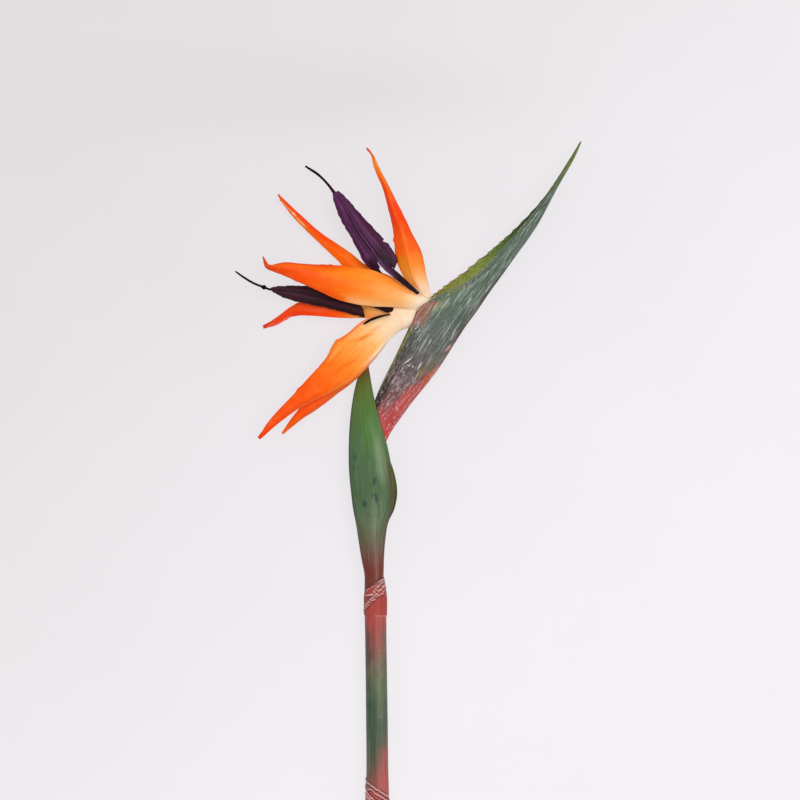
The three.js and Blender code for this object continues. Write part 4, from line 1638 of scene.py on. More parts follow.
LOWER_SEPAL_FRONT = Petal(
    "lower_sepal_front",
    "sepal",
    Blade(
        rail((0.5, 139, 3.4), (-5, 137, 4.8), (-9, 133.5, 6.6), (-12.5, 130, 7.4), (-20.5, 120, 7.9),
            (-26, 114, 7.9), (-31.5, 109.5, 7.8), (-43.5, 103, 7.4), (-59.5, 95, 6.8), (-70, 87.5, 6.8),
            (-82, 77.3, 7)),
        rail((3, 144, 5.1), (-6.5, 142.5, 6.8), (-11.5, 140, 8.2), (-16.5, 136.5, 8.9), (-26, 128, 9.8),
            (-33, 121, 10.2), (-39, 115, 10.2), (-47, 107, 9.8), (-61, 97.5, 9), (-73, 88.5, 8.2),
            (-82.5, 78, 7.3)),
        rail((5, 150.4, 2.8), (-8.5, 150.4, 2.8), (-12, 146.2, 4.4), (-24, 143.3, 5.8), (-34, 135.5, 7.2),
            (-41.5, 130, 7.6), (-45, 123, 7.4), (-54, 112.5, 7.2), (-65.4, 100, 6.8), (-76, 88.5, 6.8),
            (-83.2, 78.4, 7)),
        sharpness=2.1,
        nicks=(Nick(1, 0.475, 0.5, 0.014), Nick(1, 0.76, 0.6, 0.008), Nick(1, 0.97, -0.5, 0.015)),
        folds=(
            Fold((0.26, 0.35), (0.47, 0.42), 0.7, 0.1),
            Fold((0.4, -0.05), (0.66, 0.05), 0.8, 0.1),
            Fold((0.36, 0.7), (0.6, 0.68), 0.5, 0.12),
        ),
        ripple=0.35,
        seed=15,
    ),
    PetalFinish(
        (
            (0, (250, 232, 206)), (0.12, (252, 224, 188)), (0.26, (253, 216, 172)), (0.35, (255, 192, 118)),
            (0.43, (255, 164, 80)), (0.51, (254, 146, 62)), (0.6, (255, 128, 52)), (0.68, (255, 112, 44)),
            (0.76, (255, 98, 44)), (0.87, (254, 94, 48)), (0.95, (250, 84, 42)), (1, (232, 62, 32)),
        ),
        washes=(
            Wash(-13, 137, 12, 4.5, 40, (253, 218, 176), 0.5),
            # Painted shade: darker orange streaks along two of the folds.
            Wash(-26.4, 133.1, 9.5, 1.8, 22, (246, 138, 46), 0.75),
            Wash(-35.2, 117.7, 13, 1.7, 31, (250, 124, 42), 0.7),
            Wash(-40, 125, 10, 1.4, 50, (255, 186, 110), 0.45),
            Wash(-24, 121, 12, 2, 48, (255, 172, 88), 0.5),
        ),
        bands=(
            # Painted light: paler along the lower edge, to offset the shade where the petal curves down
            # there.
            Band((0.05, 0.42), (0, 0.1), (255, 230, 194), 0.85, (0.08, 0.08)),
            Band((0.42, 0.8), (0, 0.08), (255, 146, 84), 0.75, (0.08, 0.07)),
            Band((0.14, 0.45), (0.94, 1), (255, 120, 40), 0.6, (0.06, 0.03)),
        ),
        margin_strength=0.3,
    ),
    columns=28,
)

LOWER_SEPAL_UNDER = Petal(
    "lower_sepal_under",
    "sepal",
    Blade(
        rail((0, 139, 0.2), (-6, 136.5, 0.5), (-10, 133, 0), (-18.5, 122, -0.8), (-29, 110.5, -1),
            (-40, 102, -1.3), (-50.5, 94, -1.5), (-59, 88.5, -1.8), (-69.5, 80, -2)),
        rail((-0.5, 141.5, 1), (-8, 139, 2.2), (-13.5, 133.5, 2.4), (-22, 124, 2.2), (-32.5, 112.5, 2),
            (-43.5, 103, 1.5), (-54, 95, 1), (-61, 89.5, 0), (-70, 80.5, -1.7)),
        rail((-0.5, 144, 0.4), (-11.5, 143, 1), (-17.5, 135, 0.3), (-26, 125.5, -0.3), (-36.5, 114.5, -0.5),
            (-48, 104, -0.5), (-57, 97.5, -1), (-63.5, 90.5, -1.5), (-70, 81, -2)),
        seed=16,
    ),
    PetalFinish(
        (
            (0, (248, 226, 190)), (0.25, (253, 214, 168)), (0.36, (255, 190, 114)), (0.46, (254, 150, 62)),
            (0.58, (255, 120, 62)), (0.7, (255, 104, 56)), (0.85, (255, 96, 38)), (1, (240, 112, 34)),
        ),
    ),
)

SEPALS: tuple[Petal, ...] = (
    UPPER_SEPAL_RIGHT, UPPER_SEPAL_BACK, UPPER_SEPAL_FRONT,
    LOWER_SEPAL_BACK, LOWER_SEPAL_FRONT, LOWER_SEPAL_UNDER,
)


@dataclass
class Tongue:
    """The arrow-shaped petal, with the stalk that it grows from."""

    node: str
    lobes: Blade
    shaft: Blade
    finish: TongueFinish
    shaft_finish: TongueFinish
    rows: int = 110
    columns: int = 40
    shaft_columns: int = 10
    wall: float = 1.4
    thinning: float = 0.6

    def build(self) -> None:
        """Draws the lobes and their stalk and joins them into one piece."""
        head = self.sheet(self.lobes, "arrow", self.finish, self.rows, self.columns)
        stem = self.sheet(self.shaft, "stalk", self.shaft_finish, self.rows // 2, self.shaft_columns)
        only(head)
        stem.select_set(True)
        bpy.ops.object.join()
        put(head, self.node)

    def sheet(
        self, blade: Blade, part: str, finish: TongueFinish, rows: int, columns: int
    ) -> Piece:
        """Draws one of its two blades.

        Args:
            blade: Its form.
            part: What it is called.
            finish: Its finish.
            rows: How many faces it has along.
            columns: How many it has across.

        Returns:
            The piece, with its thickness and its material.
        """
        piece = blade.drawn(f"{self.node}_{part}", rows, columns)
        face(piece, Facing.UP)
        dress(piece, [finish.material(f"{self.node}_{part}_flesh")])
        across = 1 - self.thinning * np.abs(np.linspace(-1, 1, columns + 1))
        thicken(piece, self.wall, np.tile(across, rows + 1), 0.0)
        return piece


UPPER_TONGUE = Tongue(
    "upper_tongue",
    Blade(
        rail((-41.9, 212.1, 3.2), (-41.1, 207.5, 2.6), (-37.1, 197.5, 1.9), (-32.1, 189, 1.5),
            (-28, 181, 1.5), (-23, 172.5, 1.5), (-15.2, 168.6, 1.5)),
        rail((-41.2, 213, 3.4), (-37, 206.7, 3.3), (-32, 198.3, 3.1), (-27.5, 190.5, 2.9),
            (-22.5, 183.5, 2.8), (-19.4, 179.5, 2.7), (-17, 177, 2.6)),
        rail((-38.6, 214, 3.2), (-33.7, 209.2, 2.6), (-27, 201.5, 1.9), (-20, 194, 1.5), (-11.8, 185, 1.5),
            (-6.3, 176, 1.5), (-7.9, 170.8, 1.5)),
        sharpness=1.5,
        nicks=(Nick(1, 0.64, -2.1, 0.009), Nick(1, 0.672, 0.8, 0.013), Nick(1, 0.5, 0.4, 0.01),
               Nick(-1, 0.35, 0.3, 0.02)),
        folds=(Fold((0.03, 0.02), (0.98, 0.02), 1.5, 0.09), Fold((0.2, -0.45), (0.9, -0.4), 0.3, 0.1),
               Fold((0.15, 0.5), (0.8, 0.45), 0.3, 0.1)),
        ragged=0.3, ripple=0.4, swell=0.8, fray=1.3, seed=21,
    ),
    Blade(
        rail((-24.5, 182, 1.2), (-18.3, 175.8, 2.4), (-13, 170, 2.8), (-9.1, 166.9, 2.8), (-2.7, 162.0, 3.6),
            (4, 157, 4.8)),
        rail((-22.5, 183.9, 1.4), (-16, 177.5, 3), (-11.2, 171, 3.5), (-7.3, 167.8, 3.6), (-1.4, 162.7, 4.5),
            (5, 157.2, 5.4)),
        rail((-21.5, 184.5, 1.2), (-13.8, 178.3, 2.4), (-9.3, 172, 2.8), (-5.6, 168.7, 2.8),
            (-0.1, 163.4, 3.6), (6, 157.8, 4.8)),
        ripple=0.0, seed=22,
    ),
    TongueFinish(
        (70, 36, 62), (108, 64, 102), (34, 14, 26),
        washes=(
            Wash(-13.5, 178.5, 11, 4.4, -55, (60, 30, 44), 0.75),
            Wash(-23, 196.5, 14, 3.2, -54, (84, 48, 72), 0.6),
            Wash(-36, 203.5, 13, 2.4, -60, (112, 66, 106), 0.6),
            Wash(-32, 186, 10, 2.6, -60, (76, 36, 54), 0.6),
        ),
        bands=(
            # Painted shade beside the groove and in it, then painted lilac highlights on its right side.
            Band((0.3, 0.8), (0.36, 0.5), (58, 28, 50), 0.5, (0.12, 0.08)),
            Band((0.02, 0.76), (0.46, 0.525), (30, 10, 28), 0.95, (0.05, 0.025)),
            Band((0.36, 0.82), (0.55, 0.572), (136, 106, 144), 0.75, (0.08, 0.02)),
            Band((0.05, 0.4), (0.56, 0.6), (122, 80, 116), 0.4, (0.1, 0.03)),
            Band((0.86, 1), (0, 0.5), (50, 20, 48), 0.7, (0.08, 0.06)),
            Band((0.88, 1), (0.6, 1), (50, 22, 34), 0.6, (0.08, 0.08)),
        ),
    ),
    TongueFinish(
        (56, 28, 52), (92, 56, 92), (26, 12, 22),
        bands=(
            Band((0.62, 1), (0, 1), (50, 18, 26), 0.85, (0.2, 0.1)),
            Band((0.05, 0.62), (0.1, 0.34), (118, 86, 124), 0.65, (0.1, 0.1)),
            Band((0, 0.3), (0.5, 1), (62, 32, 48), 0.6, (0.1, 0.1)),
        ),
    ),
)

LOWER_TONGUE = Tongue(
    "lower_tongue",
    Blade(
        rail((-76, 159.5, 1.8), (-74, 158, 1.8), (-67, 154.6, 1.8), (-56.5, 152, 1.8), (-45, 149.6, 1.4),
            (-32, 146.2, 1), (-24.3, 144.2, 0.9)),
        rail((-76.2, 160, 2), (-71, 159, 2.6), (-64.4, 158, 2.9), (-55.5, 156.6, 2.8), (-46.2, 155.2, 2.4),
            (-36, 152.6, 1.9), (-25, 148.6, 1.6)),
        rail((-76, 160.6, 1.8), (-73.6, 161.2, 1.8), (-65.5, 161.8, 1.8), (-55.5, 161.6, 1.8),
            (-43.5, 160.4, 1.4), (-33.5, 158, 1), (-27.6, 152, 0.9)),
        sharpness=1.5,
        folds=(Fold((0.08, 0.0), (0.9, 0.0), 0.8, 0.08),),
        ragged=0.28, ripple=0.35, swell=0.6, fray=0.2, seed=23,
    ),
    Blade(
        rail((-38, 153.2, 1.7), (-31.5, 151.8, 1.4), (-25, 151, 1.4), (-18, 149.3, 2), (-13.5, 147.4, 3.4),
            (-10.2, 146.3, 4.6)),
        rail((-37.8, 154.2, 1.8), (-31.2, 153.2, 1.5), (-24.5, 152.5, 1.5), (-17.8, 151.3, 2.1),
            (-12.6, 149.3, 3.5), (-8.8, 147.6, 4.8)),
        rail((-37.5, 155.2, 1.7), (-31, 154.8, 1.4), (-24, 154, 1.4), (-17.5, 153.3, 2), (-11.5, 151.4, 3.2),
            (-8.5, 150.2, 4.2)),
        ripple=0.0, seed=24,
    ),
    # Darker than the upper tongue: partly its own deeper hue, partly painted shade, as this tongue lies in
    # shade.
    TongueFinish(
        (58, 34, 44), (84, 56, 68), (32, 16, 22),
        bands=(
            # Painted sheen: a grey-violet band down the middle.
            Band((0.1, 0.62), (0.42, 0.56), (94, 70, 88), 0.6, (0.12, 0.08)),
            Band((0.55, 1), (0, 1), (54, 28, 34), 0.5, (0.2, 0.1)),
            Band((0.1, 0.9), (0.6, 0.63), (30, 14, 20), 0.6, (0.05, 0.03)),
        ),
    ),
    TongueFinish((42, 26, 32), (58, 40, 46), (28, 16, 20)),
)

TONGUES: tuple[Tongue, ...] = (UPPER_TONGUE, LOWER_TONGUE)


@dataclass
class Thread:
    """A style or the small third petal: a thin round thread."""

    node: str
    shape: Tube
    finish: ThreadFinish = ThreadFinish()
    rows: int = 90
    columns: int = 12

    def build(self) -> None:
        """Draws the thread and dresses it."""
        piece = tube_piece(self.shape, self.node + "_thread", self.rows, self.columns)
        dress(piece, [self.finish.material(self.node + "_skin")])
        soften(piece)
        put(piece, self.node)


UPPER_STYLE = Thread(
    "upper_style",
    Tube(
        rail((-38.8, 209.8, 2), (-41.3, 213.2, 3), (-44.2, 217, 3.8), (-47.6, 220.7, 4.6), (-51, 223.6, 5.2),
            (-54.5, 225.8, 5.7), (-57, 227.4, 6)),
        profile(0.9, 1.0, 0.8, 0.7, 0.66, 0.72, 0.7, 0.62, 0.5),
    ),
    ThreadFinish(root=(74, 34, 62)),
)

LOWER_STYLE = Thread(
    "lower_style",
    Tube(
        rail((-73.2, 159.6, 1.2), (-76.4, 159.8, 1.8), (-79.6, 160.9, 2.1), (-85, 163, 2.4),
            (-90.5, 166.2, 2.8), (-95.4, 169.7, 3.2)),
        profile(0.8, 0.8, 0.75, 0.7, 0.65, 0.62, 0.62, 0.62, 0.62, 0.62, 0.64, 1.0, 1.38, 1.0, 0.64, 0.62,
            0.62, 0.62, 0.62, 0.64, 0.64, 0.64, 0.62, 0.6, 0.6, 0.58, 0.56, 0.54, 0.5, 0.46, 0.42),
    ),
)

LOWER_SMALL_PETAL = Thread(
    "lower_small_petal",
    Tube(
        rail((-10.4, 146, 6.8), (-13.4, 145.4, 7.6), (-16.6, 144.6, 8.2), (-19.8, 143.5, 8.7),
            (-22.6, 142.1, 9), (-24.8, 140.6, 9.1)),
        profile(0.4, 0.44, 0.6, 0.7, 0.7, 0.62, 0.5),
    ),
)

THREADS: tuple[Thread, ...] = (UPPER_STYLE, LOWER_STYLE, LOWER_SMALL_PETAL)


@dataclass(frozen=True)
class Lip:
    """A fold line that winds round a node, through places of angle in degrees and y."""

    angles: tuple[float, ...]
    heights: tuple[float, ...]
    lift: float = 0.45
    width: float = 0.42
    gap: float = 1.0
    gap_lift: float = 0.3
    paint: float = 0.26
    crease: float = 0.85

    def unwound(self, angle: Array) -> Array:
        """Angles counted on from the line's start, where they lie well before it."""
        return np.where(angle < min(self.angles) - 60, angle + 360, angle)

    def distance(self, angle: Array, y: Array) -> Array:
        """How far above the line each place is, along y.

        Args:
            angle: The angle from +X round the node, in degrees.
            y: The place along the stalk, in mm.

        Returns:
            One distance in mm for each place.
        """
        turned = self.unwound(angle)
        waver = 0.35 * wander(turned / 360, 60 + len(self.angles), 6)
        return y - np.interp(turned, self.angles, self.heights) - waver

    def strength(self, angle: Array) -> Array:
        """1 where the line runs, fading out past both its ends.

        Args:
            angle: The angle from +X round the node, in degrees.

        Returns:
            One share for each angle.
        """
        turned = self.unwound(angle)
        low, high = min(self.angles), max(self.angles)
        return smooth(low - 50, low - 5, turned) * (1 - smooth(high + 5, high + 60, turned))


@dataclass(frozen=True)
class NodeFolds:
    """The folds of a node, where the margins of a sheath cross over."""

    lips: tuple[Lip, ...]
    collar: Lip
    swell: float = 0.25

    def relief(self, angle: Array, y: Array) -> Array:
        """How far the skin stands out from its smooth form, in mm.

        Args:
            angle: The angle from +X round the node, in degrees.
            y: The place along the stalk, in mm.

        Returns:
            One height for each place.
        """
        rise = np.zeros_like(y)
        for lip in self.lips:
            d = lip.distance(angle, y)
            on = lip.strength(angle)
            rise += on * lip.lift * bump(d, 0, lip.width)
            rise -= on * lip.gap_lift * bump(d, lip.gap, 0.5)
        return rise - self.swell * smooth(-0.9, 0.5, self.collar.distance(angle, y))

    def pale(self, angle: Array, y: Array) -> Array:
        """Where the thin pale edges show.

        Args:
            angle: The angle from +X round the node, in degrees.
            y: The place along the stalk, in mm.

        Returns:
            A share from 0 to 1 for each place.
        """
        total = np.zeros_like(y)
        for lip in self.lips:
            total = np.maximum(total, lip.strength(angle) * bump(lip.distance(angle, y), 0.05, lip.paint))
        return np.clip(total, 0, 1)

    def neck(self, angle: Array, y: Array) -> Array:
        """Where the skin above the collar shows."""
        return smooth(-0.2, 0.6, self.collar.distance(angle, y)) * (1 - smooth(2, 14, y))

    def shade(self, angle: Array, y: Array) -> Array:
        """Where the painted shade of the creases shows: dark lines beside the lips and just above the collar.

        Args:
            angle: The angle from +X round the node, in degrees.
            y: The place along the stalk, in mm.

        Returns:
            A share from 0 to 1 for each place.
        """
        total = 0.75 * bump(self.collar.distance(angle, y), 0.5, 0.35)
        for lip in self.lips:
            line = bump(lip.distance(angle, y), lip.gap, 0.5)
            total = np.maximum(total, lip.crease * lip.strength(angle) * line)
        return np.clip(total, 0, 1)


UPPER_NODE = NodeFolds(
    lips=(
        Lip((0, 39, 76, 114, 150), (-1.4, -3.6, -6.3, -10.5, -14)),
        Lip((0, 41, 76, 106, 135, 165), (-4.2, -6.3, -8.8, -11.2, -14.7, -16.5), gap=-0.9, gap_lift=0.15,
            paint=0.2),
        Lip((20, 45, 72, 90, 110), (-0.6, -1.6, -3.6, -5.4, -8.4), lift=0.35, gap=-1.1, paint=0.3),
        Lip((0, 55, 84, 108, 139), (1.2, -0.4, -1.9, -3.9, -5.5), lift=0.3, gap=0.8, paint=0.12),
        Lip((0, 60, 120, 180), (-20, -19.7, -20.4, -20.7), lift=0.02, gap_lift=0, paint=0.2, crease=0),
    ),
    collar=Lip((-180, -90, 0, 55, 84, 108, 139, 180), (-8, -3, 1.2, -0.4, -1.9, -3.9, -5.5, -8)),
)
LOWER_NODE = NodeFolds(
    lips=(
        Lip((0, 23, 71, 98, 126, 175), (-121, -119.6, -116.8, -114.7, -112.8, -109.8), gap=-0.9),
        Lip((0, 40, 75, 100, 122), (-124.4, -121.6, -118.9, -117.2, -115.2), lift=0.25, gap=-0.8, paint=0.22),
        Lip((15, 60, 105, 128, 155, 180), (-126, -124, -121, -118.9, -116.4, -113.3), lift=0.5,
            paint=0.34),
        Lip((40, 100, 135, 165), (-128, -123.6, -120.2, -117.6), lift=0.45, gap=1.1, paint=0.4),
    ),
    collar=Lip(
        (-180, -90, 0, 23, 71, 98, 126, 180),
        (-108.5, -115, -120, -118.6, -115.8, -113.6, -111.8, -108.5),
    ),
    swell=0.2,
)


@dataclass(frozen=True)
class NodedTube(Tube):
    """A length of sheath with the folds of its node."""

    folds: NodeFolds | None = None

    def around(self, points: Array, w: Array) -> tuple[Array, Array]:
        """The angle from +X in degrees, and the y, of each point."""
        return np.degrees(np.arctan2(np.cos(np.pi * w), np.sin(np.pi * w))), points[:, 1]

    def relief(self, t: Array, angle: Array, points: Array) -> Array:
        """The folds' relief."""
        if self.folds is None:
            return np.zeros_like(t)
        return self.folds.relief(*self.around(points, angle / np.pi))

    def marks(self) -> dict[str, Mark]:
        """Where the pale edges and the painted shade of the creases are.

        Returns:
            The two marks, by name.
        """
        if self.folds is None:
            nothing: Mark = lambda t, w, points: np.zeros_like(t)
            return {"pale": nothing, "gap": nothing}
        return {
            "pale": lambda t, w, points: self.folds.pale(*self.around(points, w)),
            "gap": lambda t, w, points: self.folds.shade(*self.around(points, w)),
        }


@dataclass
class Sheath:
    """A closed sheath round the stalk."""

    node: str
    shape: NodedTube
    finish: StalkFinish
    wall: float = 1.1
    rows: int = 130
    columns: int = 72

    def build(self) -> None:
        """Draws the sheath, thickens it inwards and dresses its skin and its cut ends."""
        piece = tube_piece(self.shape, self.node + "_skin", self.rows, self.columns)
        flesh = FleshFinish((196, 190, 130), (164, 160, 96), 0.5).material(self.node + "_flesh")
        dress(piece, [self.finish.material(self.node + "_skin"), flesh])
        thicken(piece, self.wall, np.ones(len(piece.data.vertices)), -1.0, 1, 1, 0)
        soften(piece, keep_corners=True)
        put(piece, self.node)


@dataclass
class Stem:
    """The stalk, its two sheaths and their nodes."""

    sheaths: tuple[Sheath, ...] = (
        Sheath(
            "lower_sheath",
            NodedTube(
                rail((-16.5, -240.8, -4.4), (-17, -176, -3.9), (-17.6, -127.8, -3.2)),
                profile(6.0, 6.1, 6.5), False,
            ),
            StalkFinish(
                (
                    (0, (112, 124, 92)), (0.15, (90, 108, 84)), (0.5, (78, 98, 80)), (0.75, (116, 98, 86)),
                    (0.88, (158, 82, 76)), (1, (174, 78, 74)),
                ),
                (
                    Wash(-13, -150, 26, 3.4, 92, (178, 84, 78), 0.7),
                    Wash(-14, -205, 40, 2.2, 90, (112, 122, 88), 0.6),
                    Wash(-21, -170, 30, 2.2, 90, (64, 82, 68), 0.6),
                ),
            ),
        ),
        Sheath(
            "middle_sheath",
            NodedTube(
                rail((-17.6, -127.2, -3.2), (-17.4, -114, -3), (-17.8, -66, -2.1), (-18.45, -19, -1.2)),
                profile(6.5, 6.55, 6.6, 6.6, 6.5, 6.25, 6.2, 6.2, 6.15, 6.1, 6.1, 6.1, 6.2), False,
                folds=LOWER_NODE,
            ),
            StalkFinish(
                (
                    (0, (190, 78, 73)), (0.25, (184, 84, 78)), (0.36, (134, 88, 80)), (0.4, (110, 92, 78)),
                    (0.456, (86, 95, 77)), (0.52, (76, 93, 75)), (0.65, (74, 95, 76)), (0.705, (90, 106, 80)),
                    (0.764, (104, 104, 84)), (0.823, (124, 98, 85)), (0.881, (146, 90, 82)),
                    (0.932, (164, 80, 75)),
                    (1, (176, 76, 71)),
                ),
                (
                    Wash(-16.2, -58, 24, 2.6, 90, (116, 128, 88), 0.6, 1),
                    Wash(-6.4, -114, 62, 17, 74, (184, 84, 79), 0.95, 0.6),
                    Wash(-23.8, -62, 40, 3.4, 90, (54, 76, 60), 0.85, 1),
                    Wash(-12.4, -48, 24, 2.6, 90, (80, 102, 64), 0.85, 1),
                    Wash(-23.2, -34, 22, 3.6, 92, (88, 74, 68), 0.7, 1),
                    Wash(-12.8, -38, 17, 3.4, 92, (92, 100, 74), 0.8, 1),
                    Wash(-17.8, -30, 16, 1.8, 90, (176, 72, 66), 0.6, 1),
                ),
            ),
            rows=330,
        ),
    )
    route: Rail = rail((-16.5, -240.6, -4.4), (-17, -176, -3.9), (-17.5, -114, -3), (-18, -19, -1.2),
                       (-18.5, -10, -1), (-19, 3, -0.8), (-20, 27, -0.4), (-20, 49, -0.1), (-19.4, 67, 0),
                       (-16, 84, 0), (-8.5, 97, 0), (-4, 103.5, 0))
    radii: Profile = profile(4.6, 4.6, 4.6, 4.6, 4.3, 3.4, 3.1, 3.1, 3.1, 3.1, 3.9, 4.4)
    core_rows: int = 260
    core_columns: int = 28

    def build(self) -> None:
        """Builds the sheaths and the stalk inside them."""
        for sheath in self.sheaths:
            sheath.build()
        core = Tube(self.route, self.radii, cap=0.004)
        piece = tube_piece(core, "stalk_core", self.core_rows, self.core_columns)
        dress(piece, [FleshFinish((206, 202, 150), (170, 168, 104), 0.8).material("stalk_flesh")])
        soften(piece, keep_corners=True)
        put(piece, "stalk")


@dataclass(frozen=True)
class StemBractShape(Folded):
    """The bract that grows from the upper node, with the node's folds at its foot."""

    folds: NodeFolds = UPPER_NODE

    def angle(self, w: Array) -> Array:
        """The angle from +X round the foot, in degrees."""
        return np.where(w < 0, 180 * (1 + w), -180 * (1 - w))

    def place(self, t: Array, w: Array) -> Array:
        """Points of the bract with the folds, and with its foot cut on a slant.

        Args:
            t: The way along, 0 to 1.
            w: The way across, -1 to 1.

        Returns:
            One row of x, y and height for each place.
        """
        points = super().place(t, w)
        axis = (self.keel.at(t) + self.near.at(t)) / 2
        out = points - axis
        out[:, 1] = 0
        out /= np.maximum(np.linalg.norm(out, axis=1), 0.1)[:, None]
        foot = 1 - smooth(2, 9, points[:, 1])
        points = points + out * (self.folds.relief(self.angle(w), points[:, 1]) * foot)[:, None]
        points[:, 1] -= (0.9 + 0.09 * (points[:, 0] + 24.5)) * (1 - smooth(-18.4, -16, points[:, 1]))
        return points

    def marks(self) -> dict[str, Mark]:
        """Where the pale edges and the painted shade of the creases are.

        Returns:
            The marks, by name, with the neck above the collar.
        """
        return {
            "pale": lambda t, w, p: self.folds.pale(self.angle(w), p[:, 1]) * (1 - smooth(2, 5, p[:, 1])),
            "gap": lambda t, w, p: self.folds.shade(self.angle(w), p[:, 1]) * (1 - smooth(2, 5, p[:, 1])),
            "neck": lambda t, w, p: self.folds.neck(self.angle(w), p[:, 1]),
        }


@dataclass
class Bract:
    """A folded bract with a skin, a lining and a thin edge."""

    node: str
    slot: str
    shape: Folded
    finish: BractFinish
    lining: LiningFinish
    edge: LiningFinish
    wall: float
    rows: int
    columns: int

    def build(self) -> None:
        """Draws the bract, thickens it inwards and dresses its three finishes."""
        piece = self.shape.drawn(self.node + "_blade", self.rows, self.columns)
        t = np.linspace(0, 1, SPINE_STEPS)
        keel = self.shape.section(t, np.zeros(SPINE_STEPS))
        face(piece, Facing.OUT, nearest((keel + self.shape.near.at(t) + self.shape.far.at(t)) / 3 * MM))
        dress(piece, [self.finish.material(self.node + "_skin"), self.lining.material(self.node + "_lining"),
                      self.edge.material(self.node + "_edge")])
        thicken(piece, self.wall, self.shares(), -1.0, 1, 2)
        put(piece, self.node)

    def shares(self) -> Array:
        """How thick each vertex is: thin at the margins, and where the two sides are close.

        Returns:
            One share of the wall for each vertex.
        """
        t = np.linspace(0, 1, self.rows + 1)
        w = np.linspace(-1, 1, self.columns + 1)
        width = np.linalg.norm(self.shape.near.at(t) - self.shape.keel.at(t), axis=1)
        room = np.minimum(0.35 * self.shape.depth.at(t), 0.3 * width)
        return np.outer(np.clip(room / self.wall, 0.05, 1), 1 - 0.5 * np.abs(w) ** 6).ravel()


